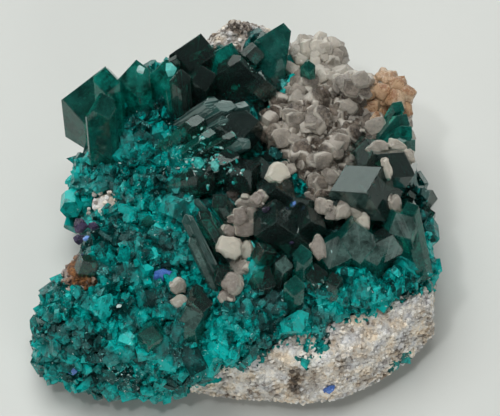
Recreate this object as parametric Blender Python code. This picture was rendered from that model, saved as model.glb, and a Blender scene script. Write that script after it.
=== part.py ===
"""A dioptase specimen: green prisms and a druse of small ones on a grey rock, with calcite grown over them.

The specimen lies on the broken underside of its rock, crystals up. Its face is laid out in the plane of view: so
many millimetres to the right and up the face, as seen from VIEW_HEIGHT above the front edge. Every length is in
millimetres until a mesh is written, in metres.
"""

import math
import random
from typing import NamedTuple

import bmesh
import bpy
from mathutils import Matrix, Vector, noise
from mathutils.bvhtree import BVHTree
from mathutils.geometry import intersect_line_line_2d, intersect_point_line

MM = 0.001

# The plane of view: its directions, and the point of the resting plane that lies behind its middle.
VIEW_HEIGHT = math.radians(60)
RIGHT = Vector((1, 0, 0))
UP = Vector((0, math.sin(VIEW_HEIGHT), math.cos(VIEW_HEIGHT)))
TOWARD = Vector((0, -math.cos(VIEW_HEIGHT), math.sin(VIEW_HEIGHT)))
FACE_CENTRE = Vector((0, 6, 0))
FAR = 200

# The rock: its foot in plan, anticlockwise from the back, and its height.
ROCK_FOOT = (
    (-4, 29.5), (-8, 24), (-12, 20.5), (-17, 16.5), (-20.5, 12.5), (-21.8, 8), (-21.8, 4), (-20.8, 0),
    (-20, -3.5), (-20.6, -7), (-23, -10), (-26, -13.5), (-28.4, -16.8), (-29, -19.5), (-28, -22.5),
    (-24.6, -24), (-20.5, -25), (-15.5, -26), (-8.5, -27), (-5, -28), (1.8, -28.8), (10, -29.4),
    (13.5, -28.8), (17.8, -27.2), (22.8, -24.2), (27.6, -21.2), (30.4, -18.4), (31, -14.5), (30, -10),
    (27.4, -7), (26.8, -2), (26.6, 3), (25.6, 8), (25, 12), (24.6, 16), (24.4, 19.5), (21, 20.5),
    (17.8, 21.2), (16.2, 24.5), (14.5, 27.2), (9, 29.2), (4.5, 31.2), (0.5, 31.4),
)
ROCK_HEIGHT = 15.0
ROCK_LEAN = 2.0
FRONT_LEAN = 4.5
KNOB = Vector((0.8, 28.5))
KNOB_HEIGHT, KNOB_SPREAD = 7.0, 6.5
ROCK_SEGMENTS, ROCK_RINGS = 36, 14
SIDE_BULGE, EDGE_ROUNDING = 0.5, 0.38
FOOT_SHARE = 0.07
TOP_PULL = 20.0
LUMP_HEIGHT, LUMP_SIZE = 1.3, 7.0
GRAIN_HEIGHT, GRAIN_SIZE = 0.6, 2.6

# The crust: where it covers the rock's face, how it thins out towards its edge, and the crystals of its druse.
CRUST_EDGE = (
    (-34, 12), (-30, 30), (-8, 30), (-4.9, 23.8), (-2.6, 22.4), (1, 22.4), (5.4, 23.8), (7.6, 22.4),
    (4.6, 16.5), (3.5, 13.8), (4.6, 10.6), (7.6, 6.9), (10.6, 5.4), (11.6, 1.8), (14.6, 0.3), (17.2, 6.5),
    (20.1, 7.4), (22.4, 8.8), (26.8, 11), (34, 18), (34, -9.5), (30, -10.2), (24.6, -12.6), (17.2, -15.1),
    (9.9, -17.6), (1.8, -21.8), (-4.9, -25.4), (-7.8, -34), (-34, -34),
)
CRUST_THICKNESS = 2.4
CRUST_SLOPE = 0.9
BARE = -1.5
CRUST_FOOT = 1.5
BACK_TURN, BACK_LEVEL = 0.3, 0.55
DRUSE_SPACING = 3.8
DRUSE_SPAN = range(-9, 10)
DRUSE_RADIUS = (1.5, 2.5)
DRUSE_HEIGHT = (1.4, 2.7)
DRUSE_ROOT = 1.2
DRUSE_TILT = 0.55
DRUSE_MARGIN = 1.2

# Dioptase: the tilt of its three end faces from the prism's axis, and how deep a prism is rooted.
END_FACE_TILT = math.radians(51)
END_FACE_TURNS = (0, 120, 240)
PRISM_TAPER = 0.94
ROOT_DEPTH = 1.5

# The rock, the dioptase and the calcite meet with this gap. Less surface than this makes a crumb.
GAP = 0.3
CRUMB_AREA = 3.0


class Crystal(NamedTuple):
    """A prism by its root and tip on the face, its tip's rise above the rock, its radius and its turn."""

    root: tuple
    tip: tuple
    rise: float
    radius: float
    spin: float


class Bead(NamedTuple):
    """A rounded calcite crystal by its place on the face, its half width and height, its thickness and lift."""

    right: float
    up: float
    width: float
    height: float
    thickness: float
    lift: float


PRISMS = (
    # Upper left.
    Crystal((-21.0, 6.5), (-20.6, 17.8), 11, 4.3, 15), Crystal((-17.8, 13.0), (-19.0, 21.6), 9.5, 2.9, 40),
    Crystal((-16.6, 13.8), (-17.3, 16.6), 6, 1.4, 10), Crystal((-14.5, 15.0), (-13.9, 22.6), 8, 2.8, 20),
    Crystal((-10.5, 16.5), (-10.0, 23.0), 6.5, 2.4, 30), Crystal((-7.2, 17.0), (-7.4, 24.8), 6.5, 2.3, 0),
    # Top.
    Crystal((-4.2, 14.5), (-4.8, 26.6), 8, 3.6, 10), Crystal((-6.4, 12.5), (-8.6, 20.6), 6.5, 3.0, 50),
    Crystal((-1.0, 16.0), (-0.3, 24.6), 6, 3.0, 25), Crystal((0.9, 12.8), (0.9, 22.6), 10, 4.1, 0),
    Crystal((5.4, 15.5), (7.0, 28.4), 8, 3.0, 5), Crystal((4.4, 12.8), (3.6, 20.6), 8, 2.0, 35),
    # The fan and the blades beside the middle.
    Crystal((-5.1, 8.8), (2.8, 11.5), 8, 4.8, 10), Crystal((-5.1, 2.9), (1.9, 3.8), 6.5, 4.0, 30),
    Crystal((-6.4, 1.5), (-0.8, -7.2), 5, 3.0, 0), Crystal((-4.0, 1.6), (0.2, -4.4), 6, 2.4, 30),
    # Middle.
    Crystal((6.8, -3.0), (7.2, -1.2), 9.5, 4.3, 0), Crystal((7.4, 1.5), (8.0, 4.6), 9.5, 4.3, 20),
    Crystal((10.6, -3.0), (11.0, -0.6), 7.5, 3.0, 40), Crystal((2.0, 7.5), (2.4, 12.0), 9, 3.0, 0),
    Crystal((5.8, 5.4), (6.2, 8.0), 7, 2.6, 20),
    # Right.
    Crystal((18.6, 0.0), (19.8, 2.8), 10.5, 5.6, 20), Crystal((23.4, 2.0), (25.2, 5.0), 8.5, 4.6, 110),
    Crystal((25.0, -2.6), (24.4, -0.4), 8, 4.6, 38), Crystal((22.6, -6.4), (22.4, -4.1), 6.5, 3.0, 60),
    # Below them.
    Crystal((20.8, -8.2), (20.6, -6.0), 5.5, 2.8, 0), Crystal((7.4, -8.0), (7.6, -5.3), 7, 2.6, 30),
    Crystal((5.6, -10.4), (5.2, -7.2), 5.8, 2.8, 30), Crystal((10.4, -8.0), (10.2, -4.4), 6.5, 2.4, 0),
    Crystal((12.0, -10.6), (11.6, -7.0), 5.8, 3.4, 30), Crystal((15.8, -6.5), (15.2, -3.4), 7, 3.2, 10),
    Crystal((17.2, -8.6), (16.9, -6.6), 5, 2.6, 50), Crystal((25.6, -8.8), (25.4, -6.8), 4.6, 2.8, 20),
    # Front left.
    Crystal((-5.5, -18.5), (-6.5, -13.5), 5, 3.2, 30), Crystal((-11.3, -19.5), (-11.5, -16.2), 4, 2.6, 10),
    Crystal((-4.5, -15.5), (-4.2, -11.5), 5, 2.4, 50),
)

CALCITE_MASS = (
    Bead(13.5, 17.5, 5.2, 4.2, 3.6, 0), Bead(19.5, 15.5, 5.0, 4.0, 3.4, 0), Bead(9.0, 15.0, 3.8, 3.6, 3.4, 0),
    Bead(17.5, 11.0, 5.0, 3.6, 3.4, 0), Bead(11.5, 11.0, 4.2, 3.8, 3.6, 0), Bead(22.5, 12.0, 3.4, 3.4, 3.0, 0),
    Bead(12.8, 6.0, 3.2, 3.8, 3.4, 0), Bead(12.4, 22.6, 4.4, 3.4, 3.4, 0), Bead(22.6, 17.4, 2.8, 2.6, 2.6, 0),
    Bead(7.4, 10.9, 1.7, 1.8, 1.4, 3.4), Bead(9.4, 13.8, 1.5, 1.4, 1.3, 3.8), Bead(5.9, 14.0, 1.5, 1.3, 1.3, 3.4),
    Bead(11.3, 15.0, 1.9, 1.8, 1.5, 4.0), Bead(12.8, 12.6, 1.8, 1.8, 1.5, 4.0), Bead(16.6, 15.0, 1.7, 1.6, 1.5, 3.6),
    Bead(14.3, 18.5, 2.1, 2.0, 1.7, 3.6), Bead(18.3, 18.0, 2.2, 2.0, 1.7, 3.0), Bead(9.9, 17.9, 1.7, 1.6, 1.5, 3.6),
    Bead(21.2, 12.8, 1.9, 1.7, 1.5, 3.4), Bead(24.2, 13.0, 1.4, 1.4, 1.3, 2.8), Bead(17.5, 11.6, 1.7, 1.6, 1.4, 3.6),
    Bead(15.1, 8.9, 1.8, 1.7, 1.5, 3.6), Bead(10.0, 9.1, 1.7, 1.6, 1.4, 3.8), Bead(13.7, 5.0, 1.8, 1.8, 1.5, 3.6),
    Bead(11.8, 6.6, 1.5, 1.5, 1.3, 3.8), Bead(20.9, 15.9, 1.7, 1.6, 1.4, 3.4), Bead(12.9, 2.7, 1.4, 1.4, 1.3, 3.2),
    Bead(19.2, 9.2, 1.5, 1.4, 1.3, 3.2), Bead(9.6, 24.8, 1.7, 1.6, 1.5, 2.4), Bead(12.7, 24.8, 2.0, 1.8, 1.6, 2.4),
    Bead(15.3, 23.4, 1.9, 2.0, 1.6, 2.0), Bead(22.8, 18.8, 1.6, 1.5, 1.4, 1.8), Bead(24.4, 16.6, 1.5, 1.5, 1.3, 2.0),
    Bead(5.4, 12.2, 1.5, 1.5, 1.4, 3.2), Bead(6.6, 16.8, 2.2, 2.2, 3.0, 0.5), Bead(8.0, 20.2, 1.8, 2.0, 2.4, 0.5),
    Bead(16.4, 6.8, 2.4, 2.2, 2.4, 0.5), Bead(19.0, 7.8, 2.0, 1.8, 2.2, 0.5),
)
CALCITE_CLUSTERS = {
    "calcite_oval": (Bead(6.5, 5.6, 1.7, 1.2, 0.9, 0.2), Bead(8.2, 6.2, 1.1, 0.9, 0.8, 0.2)),
    "calcite_string": (
        Bead(0.4, 2.4, 1.2, 1.1, 0.9, 0.2), Bead(2.1, 1.2, 1.7, 1.4, 1.0, 0.3), Bead(3.7, 1.8, 1.0, 0.9, 0.7, 0.1),
        Bead(0.7, -0.7, 1.3, 1.3, 0.9, 0.2), Bead(2.6, -0.5, 1.3, 1.2, 0.9, 0.2), Bead(1.6, -2.4, 1.7, 1.4, 1.0, 0.3),
        Bead(-0.7, -2.9, 1.1, 0.9, 0.8, 0.2), Bead(-0.6, -5.2, 1.7, 1.8, 1.1, 0.5),
        Bead(1.7, -5.6, 1.4, 1.6, 1.0, 0.4), Bead(1.0, -8.0, 1.4, 1.5, 0.9, 0.3), Bead(0.2, -10.4, 1.4, 1.4, 0.9, 0.2),
        Bead(-0.7, -11.9, 0.9, 0.8, 0.7, 0.1),
    ),
    "calcite_chain": (
        Bead(13.2, 0.9, 1.2, 1.2, 0.9, 0.3), Bead(14.3, -0.2, 1.0, 0.8, 0.7, 0.2), Bead(15.9, 0.0, 1.3, 1.2, 0.9, 0.2),
        Bead(18.0, -0.7, 1.5, 1.4, 1.0, 0.2), Bead(18.9, -1.9, 0.9, 1.1, 0.8, 0.2),
    ),
    "calcite_lone_low": (Bead(12.5, -5.1, 1.2, 1.8, 0.9, 0.3),),
    "calcite_lone_right": (Bead(23.5, 1.2, 1.2, 1.4, 0.9, 0.2),),
    "calcite_lone_front": (Bead(-7.9, -10.6, 1.4, 1.1, 0.9, 0.4),),
    "calcite_lone_front_small": (Bead(-7.5, -12.9, 1.4, 0.9, 0.8, 0.4),),
    "calcite_crescent": (Bead(22.0, 8.4, 2.4, 1.2, 0.9, 0.2), Bead(24.2, 7.8, 1.6, 1.2, 0.8, 0.1)),
}
BEAD_SEGMENTS, BEAD_RINGS = 8, 4

COLOURS = {
    "rock": ((0.36, 0.32, 0.28, 1), 0.85),
    "dioptase": ((0.0, 0.14, 0.10, 1), 0.15),
    "calcite": ((0.42, 0.38, 0.34, 1), 0.4),
}


def clear_scene():
    """Removes what a new file holds."""
    for obj in list(bpy.data.objects):
        bpy.data.objects.remove(obj)


def finish_named(kind):
    """The material of a kind of mineral, made once."""
    found = bpy.data.materials.get(kind)
    if found:
        return found
    colour, roughness = COLOURS[kind]
    material = bpy.data.materials.new(kind)
    material.use_nodes = True
    shader = material.node_tree.nodes["Principled BSDF"]
    shader.inputs["Base Color"].default_value = colour
    shader.inputs["Roughness"].default_value = roughness
    shader.inputs["Metallic"].default_value = 0
    return material


def solid_from(bm, name, collection, at=Vector()):
    """A new object of a bmesh drawn in millimetres round the origin, put at a place given in millimetres."""
    bmesh.ops.recalc_face_normals(bm, faces=bm.faces)
    bm.transform(Matrix.Scale(MM, 4))
    mesh = bpy.data.meshes.new(name)
    bm.to_mesh(mesh)
    bm.free()
    obj = bpy.data.objects.new(name, mesh)
    obj.location = at * MM
    collection.objects.link(obj)
    return obj


def settle(obj):
    """Applies the object's modifiers."""
    graph = bpy.context.evaluated_depsgraph_get()
    made = bpy.data.meshes.new_from_object(obj.evaluated_get(graph))
    obj.modifiers.clear()
    before, obj.data = obj.data, made
    bpy.data.meshes.remove(before)


def combine(obj, other, operation):
    """Joins another solid to obj, or cuts it out of obj, with the solver that keeps intergrown crystals closed."""
    modifier = obj.modifiers.new(operation.lower(), "BOOLEAN")
    modifier.solver = "MANIFOLD"
    modifier.operation = operation
    modifier.object = other
    bpy.context.view_layer.update()
    settle(obj)


def remove(obj):
    """Deletes a helper with its mesh."""
    mesh = obj.data
    bpy.data.objects.remove(obj)
    bpy.data.meshes.remove(mesh)


def fuse(solids, name):
    """Joins the solids into the first one, under a new name."""
    first, *others = solids
    for other in others:
        combine(first, other, "UNION")
        remove(other)
    first.name = name
    return first


def cut(obj, cutters):
    """Cuts each of the cutters out of obj."""
    for cutter in cutters:
        combine(obj, cutter, "DIFFERENCE")


def bodies_of(bm):
    """The separate bodies of a bmesh, each a list of its faces."""
    left = set(bm.faces)
    found = []
    while left:
        body, frontier = [], [left.pop()]
        while frontier:
            face = frontier.pop()
            body.append(face)
            near = {other for edge in face.edges for other in edge.link_faces} & left
            left -= near
            frontier.extend(near)
        found.append(body)
    return found


def keep_body(obj, place=0):
    """Deletes all but one of the object's bodies, by default the largest. Returns how many are no mere crumbs."""
    bm = bmesh.new()
    bm.from_mesh(obj.data)
    bodies = [(sum(face.calc_area() for face in body), index, body) for index, body in enumerate(bodies_of(bm))]
    bodies.sort(reverse=True)
    whole = sum(area > CRUMB_AREA * MM**2 for area, _, _ in bodies)
    others = [face for _, _, body in bodies[:place] + bodies[place + 1 :] for face in body]
    bmesh.ops.delete(bm, geom=others, context="FACES")
    bm.to_mesh(obj.data)
    bm.free()
    return whole


def separate(obj, collection):
    """Parts an object into its bodies, each an object of its own, and returns them."""
    copies = [obj]
    full = obj.data.copy()
    for place in range(1, keep_body(obj)):
        piece = bpy.data.objects.new(f"{obj.name}_{place + 1}", full.copy())
        piece.location = obj.location
        collection.objects.link(piece)
        keep_body(piece, place)
        copies.append(piece)
    bpy.data.meshes.remove(full)
    return copies


def finish(obj, kind):
    """Tidies a finished piece and gives it its material."""
    keep_body(obj)
    obj.data.materials.clear()
    obj.data.materials.append(finish_named(kind))


def on_face(point):
    """How far right and up the face a point lies."""
    offset = point - FACE_CENTRE
    return Vector((offset.dot(RIGHT), offset.dot(UP)))


def from_face(right, up, toward):
    """The point that lies so far right, up and toward the viewer."""
    return FACE_CENTRE + RIGHT * right + UP * up + TOWARD * toward


def depth_inside(place, outline):
    """How deep a place lies inside a closed line, negative outside it."""
    inner, nearest = False, math.inf
    for a, b in zip(outline, outline[1:] + outline[:1]):
        if (a[1] > place.y) != (b[1] > place.y):
            crossing = a[0] + (place.y - a[1]) * (b[0] - a[0]) / (b[1] - a[1])
            inner ^= place.x < crossing
        on_line, share = intersect_point_line(place, Vector(a), Vector(b))
        on_line = Vector(a).lerp(Vector(b), min(max(share, 0), 1))
        nearest = min(nearest, (place - on_line).length)
    return nearest if inner else -nearest


def foot_reach(angle):
    """How far the rock's foot reaches from the middle in one direction."""
    far = Vector((math.cos(angle), math.sin(angle))) * FAR
    reach = 0
    for a, b in zip(ROCK_FOOT, ROCK_FOOT[1:] + ROCK_FOOT[:1]):
        hit = intersect_line_line_2d(Vector((0, 0)), far, Vector(a), Vector(b))
        if hit:
            reach = max(reach, hit.length)
    return reach


def rock_point(direction, growth, crusted):
    """Where the surface of the rock, grown by so much, lies for a point of a unit ball."""
    angle = math.atan2(direction.y, direction.x)
    ray = Vector((math.cos(angle), math.sin(angle)))
    spread = direction.xy.length**SIDE_BULGE
    level = 0.5 + 0.5 * math.copysign(abs(direction.z) ** EDGE_ROUNDING, direction.z)
    lean = (ROCK_LEAN + (FRONT_LEAN - ROCK_LEAN) * max(0.0, -ray.y) ** 2) * level
    plan = ray * (foot_reach(angle) - lean) * spread
    height = ROCK_HEIGHT + KNOB_HEIGHT * math.exp(-(((plan - KNOB).length / KNOB_SPREAD) ** 2))
    base = Vector((*plan, height * level))
    rough = LUMP_HEIGHT * noise.noise(base / LUMP_SIZE) + GRAIN_HEIGHT * noise.noise(base / GRAIN_SIZE)
    outward = Vector((*(plan * (1 - level)), TOP_PULL * level)).normalized()
    if crusted:
        covered = level > BACK_LEVEL or (level > FOOT_SHARE and ray.y < BACK_TURN)
        depth = depth_inside(on_face(base), CRUST_EDGE) * CRUST_SLOPE
        growth += min(max(depth, BARE), CRUST_THICKNESS) if covered else BARE
    grown = plan + ray * growth * spread
    if level < FOOT_SHARE:
        return Vector((*grown, 0))
    return Vector((*grown, (height + growth) * level)) + outward * rough


def rock_bmesh(growth=0.0, crusted=False):
    """The rock as a rounded slab, drawn from a ball, bare or with its crust."""
    bm = bmesh.new()
    bmesh.ops.create_uvsphere(bm, u_segments=ROCK_SEGMENTS, v_segments=ROCK_RINGS, radius=1)
    for vertex in bm.verts:
        vertex.co = rock_point(vertex.co, growth, crusted)
    bmesh.ops.triangulate(bm, faces=bm.faces, quad_method="FIXED")
    bmesh.ops.recalc_face_normals(bm, faces=bm.faces)
    return bm


def prism(name, collection, root, axis, length, radius, spin, clearance=0.0):
    """A six-sided prism with three end faces, from root along axis. Its first end face is turned by spin."""
    radius += clearance
    length += clearance / math.cos(END_FACE_TILT)
    bm = bmesh.new()
    depth = length + clearance
    bmesh.ops.create_cone(bm, cap_ends=True, segments=6, radius1=radius * PRISM_TAPER, radius2=radius, depth=depth)
    bmesh.ops.translate(bm, verts=bm.verts, vec=(0, 0, (length - clearance) / 2))
    first = max(bm.verts, key=lambda vertex: vertex.co.x)
    bmesh.ops.rotate(bm, verts=bm.verts, matrix=Matrix.Rotation(-math.atan2(first.co.y, first.co.x), 3, "Z"))
    slope = Vector((math.sin(END_FACE_TILT), 0, math.cos(END_FACE_TILT)))
    for turn in END_FACE_TURNS:
        normal = Matrix.Rotation(math.radians(turn), 3, "Z") @ slope
        halves = bmesh.ops.bisect_plane(
            bm, geom=bm.verts[:] + bm.edges[:] + bm.faces[:], plane_co=(0, 0, length), plane_no=normal,
            clear_outer=True, dist=1e-6,
        )
        rim = [item for item in halves["geom_cut"] if isinstance(item, bmesh.types.BMEdge)]
        bmesh.ops.contextual_create(bm, geom=rim)
    bmesh.ops.remove_doubles(bm, verts=bm.verts, dist=1e-4)
    side = (RIGHT - axis * RIGHT.dot(axis)).normalized()
    frame = Matrix((side, axis.cross(side), axis)).transposed()
    bmesh.ops.rotate(bm, verts=bm.verts, matrix=frame @ Matrix.Rotation(math.radians(spin), 3, "Z"))
    return solid_from(bm, name, collection, root)


def seat_on(surface, right, up):
    """The point of a surface behind a place on the face, or as deep as the surface's nearest point."""
    hit = surface.ray_cast(from_face(right, up, FAR), -TOWARD)[0]
    if hit:
        return hit
    near = surface.find_nearest(from_face(right, up, ROCK_HEIGHT))[0]
    return from_face(right, up, (near - FACE_CENTRE).dot(TOWARD))


def listed_prism(crystal, collection, surface, clearance):
    """A crystal of the list, rooted in the rock behind its place on the face."""
    seat = seat_on(surface, *crystal.root)
    right, up = crystal.tip
    toward = (ROCK_HEIGHT + crystal.rise - up * UP.z) / TOWARD.z
    line = from_face(right, up, toward) - seat
    axis = line.normalized()
    root = seat - axis * ROOT_DEPTH
    return prism(
        "prism", collection, root, axis, line.length + ROOT_DEPTH, crystal.radius, crystal.spin, clearance
    )


def druse(collection, surface, clearance):
    """The small crystals of the crust, leaning at random off its surface, clear of the large prisms' tips."""
    chance = random.Random(7)
    crystals = []
    for row in DRUSE_SPAN:
        for column in DRUSE_SPAN:
            place = Vector(DRUSE_SPACING * (step + chance.uniform(-0.35, 0.35)) for step in (column, row))
            lean = Vector([chance.uniform(-1, 1) for _ in range(3)]) * DRUSE_TILT
            radius = chance.uniform(*DRUSE_RADIUS)
            height = chance.uniform(*DRUSE_HEIGHT)
            spin = chance.uniform(0, 120)
            hit, out, _, _ = surface.ray_cast(from_face(*place, FAR), -TOWARD)
            room = min((place - Vector(prism.tip)).length - prism.radius for prism in PRISMS)
            if hit is None or room < DRUSE_MARGIN or depth_inside(place, CRUST_EDGE) < radius:
                continue
            axis = (out + lean).normalized()
            root = hit - axis * DRUSE_ROOT
            crystals.append(
                prism("small_prism", collection, root, axis, DRUSE_ROOT + height, radius, spin, clearance)
            )
    return crystals


def surface_of(objects):
    """The outer surface of several solids in millimetres, to cast rays on."""
    corners, faces = [], []
    for obj in objects:
        first = len(corners)
        corners.extend((obj.matrix_world @ vertex.co) / MM for vertex in obj.data.vertices)
        faces.extend([first + index for index in polygon.vertices] for polygon in obj.data.polygons)
    return BVHTree.FromPolygons(corners, faces)


def bead(shape, collection, surface, clearance=0.0):
    """A rounded calcite crystal, flat against the surface behind its place on the face."""
    seat = seat_on(surface, shape.right, shape.up)
    bm = bmesh.new()
    bmesh.ops.create_uvsphere(bm, u_segments=BEAD_SEGMENTS, v_segments=BEAD_RINGS, radius=1)
    turn = math.radians(37 * shape.right + 23 * shape.up)
    bmesh.ops.rotate(bm, verts=bm.verts, matrix=Matrix.Rotation(turn, 3, "Z"))
    size = Vector((shape.width, shape.height, shape.thickness)) + Vector((1, 1, 1)) * clearance
    bmesh.ops.scale(bm, verts=bm.verts, vec=size)
    face_frame = Matrix((RIGHT, UP, TOWARD)).transposed()
    bmesh.ops.rotate(bm, verts=bm.verts, matrix=face_frame)
    return solid_from(bm, "bead", collection, seat + TOWARD * shape.lift)


def dioptase_body(name, collection, clearance=0.0):
    """The crust, its druse and the large prisms, intergrown to one solid."""
    ground = BVHTree.FromBMesh(rock_bmesh())
    crust_ground = BVHTree.FromBMesh(rock_bmesh(crusted=True))
    crust = solid_from(rock_bmesh(clearance, crusted=True), name, collection)
    small = druse(collection, crust_ground, clearance)
    large = [listed_prism(crystal, collection, ground, clearance) for crystal in PRISMS]
    return fuse([crust, *small, *large], name)


def main():
    """Builds the rock, the dioptase grown on it, the calcite and then the crystals perched on them."""
    clear_scene()
    specimen = bpy.data.collections.new("dioptase_specimen")
    bpy.context.scene.collection.children.link(specimen)

    rock = solid_from(rock_bmesh(), "matrix", specimen)
    rock_cutter = solid_from(rock_bmesh(GAP), "rock_cutter", specimen)
    under = bmesh.new()
    bmesh.ops.create_cube(under, size=2 * FAR)
    under = solid_from(under, "under", specimen, Vector((0, 0, CRUST_FOOT - FAR)))

    dioptase = dioptase_body("dioptase", specimen)
    cut(dioptase, [rock_cutter, under])
    finish(dioptase, "dioptase")
    dioptase_cutter = dioptase_body("dioptase_cutter", specimen, GAP)

    ground = surface_of([rock])
    mass = fuse([bead(shape, specimen, ground) for shape in CALCITE_MASS], "calcite_mass")
    cut(mass, [rock_cutter, dioptase_cutter])
    finish(mass, "calcite")
    mass_cutter = fuse([bead(shape, specimen, ground, GAP) for shape in CALCITE_MASS], "mass_cutter")

    perch = surface_of([dioptase, mass])
    for name, beads in CALCITE_CLUSTERS.items():
        cluster = fuse([bead(shape, specimen, perch) for shape in beads], name)
        cut(cluster, [rock_cutter, dioptase_cutter, mass_cutter])
        for piece in separate(cluster, specimen):
            finish(piece, "calcite")

    for helper in (rock_cutter, under, dioptase_cutter, mass_cutter):
        remove(helper)
    finish(rock, "rock")


main()
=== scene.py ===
"""The looks of a dioptase specimen: prisms, druse, calcite and rock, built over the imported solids.

The specimen lies on its rock. Its face is laid out in the plane that a viewer 60 degrees above the front
edge sees: a place on it is so many millimetres right and up of its middle. Lengths are in millimetres until
a mesh is written, in metres.
"""

import logging
import math
from collections.abc import Callable, Iterable, Iterator
from contextlib import contextmanager
from dataclasses import dataclass
from enum import Enum

import bpy
import numpy as np
from mathutils import Matrix, Vector, noise
from mathutils.bvhtree import BVHTree


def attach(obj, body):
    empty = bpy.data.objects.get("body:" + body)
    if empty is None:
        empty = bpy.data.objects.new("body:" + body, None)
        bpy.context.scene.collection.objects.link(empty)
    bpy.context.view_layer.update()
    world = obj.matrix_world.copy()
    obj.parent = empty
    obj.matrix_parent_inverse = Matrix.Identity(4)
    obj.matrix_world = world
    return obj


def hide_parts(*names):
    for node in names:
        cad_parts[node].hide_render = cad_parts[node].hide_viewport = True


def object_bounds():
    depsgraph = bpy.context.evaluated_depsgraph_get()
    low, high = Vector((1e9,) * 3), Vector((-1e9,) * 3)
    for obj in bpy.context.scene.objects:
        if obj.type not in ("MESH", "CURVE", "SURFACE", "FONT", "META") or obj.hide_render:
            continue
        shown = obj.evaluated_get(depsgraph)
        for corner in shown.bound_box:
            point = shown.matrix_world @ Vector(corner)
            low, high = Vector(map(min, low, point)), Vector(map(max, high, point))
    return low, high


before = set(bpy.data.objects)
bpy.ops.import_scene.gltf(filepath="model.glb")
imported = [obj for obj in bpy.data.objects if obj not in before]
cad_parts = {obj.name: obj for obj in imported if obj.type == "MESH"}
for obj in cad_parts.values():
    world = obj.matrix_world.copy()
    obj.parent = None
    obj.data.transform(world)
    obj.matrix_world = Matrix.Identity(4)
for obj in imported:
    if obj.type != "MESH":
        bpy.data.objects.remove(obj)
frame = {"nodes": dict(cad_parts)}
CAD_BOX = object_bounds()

log = logging.getLogger("dioptase")

MM = 0.001
BODY = "root"

Colour = tuple[float, float, float]
Socket = bpy.types.NodeSocket


def unit(value: float) -> float:
    """A value held between 0 and 1."""
    return min(max(value, 0), 1)


class Slot(Enum):
    """The record's material slots."""

    DIOPTASE = "dioptase"
    CALCITE = "calcite"
    ROCK = "rock"


class Habit(Enum):
    """How a dioptase prism lets light through; some habits have light painted into their colour too."""

    DARK = 0
    DEEP = 1
    # Partly painted glow: clearer, milky bright green prisms stand in for light shining through from behind.
    EMERALD = 2
    STREAKED = 3
    # Painted reflection: a grey-green sheen for faces that mirror the pale room.
    SHEENED = 4


@dataclass(frozen=True)
class FacePlane:
    """The plane of view that the specimen's face is laid out in."""

    elevation: float = math.radians(60)
    centre: tuple[float, float, float] = (0.0, 6.0, 0.0)

    @property
    def right(self) -> Vector:
        """The direction to the right along the face."""
        return Vector((1, 0, 0))

    @property
    def up(self) -> Vector:
        """The direction up the face."""
        return Vector((0, math.sin(self.elevation), math.cos(self.elevation)))

    @property
    def toward(self) -> Vector:
        """The direction from the face to the viewer."""
        return Vector((0, -math.cos(self.elevation), math.sin(self.elevation)))

    @property
    def axes(self) -> Matrix:
        """The three directions as the columns of a matrix."""
        return Matrix((self.right, self.up, self.toward)).transposed()

    def point(self, right: float, up: float, toward: float) -> Vector:
        """The point so far right, up and toward the viewer."""
        return Vector(self.centre) + self.axes @ Vector((right, up, toward))

    def place(self, point: Vector) -> Vector:
        """How far right, up and toward the viewer a point lies."""
        return self.axes.transposed() @ (point - Vector(self.centre))

    def at_height(self, right: float, up: float, height: float) -> Vector:
        """The point behind a place on the face that lies at a height above the floor."""
        return self.point(right, up, (height - up * self.up.z) / self.toward.z)


FACE = FacePlane()


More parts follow.
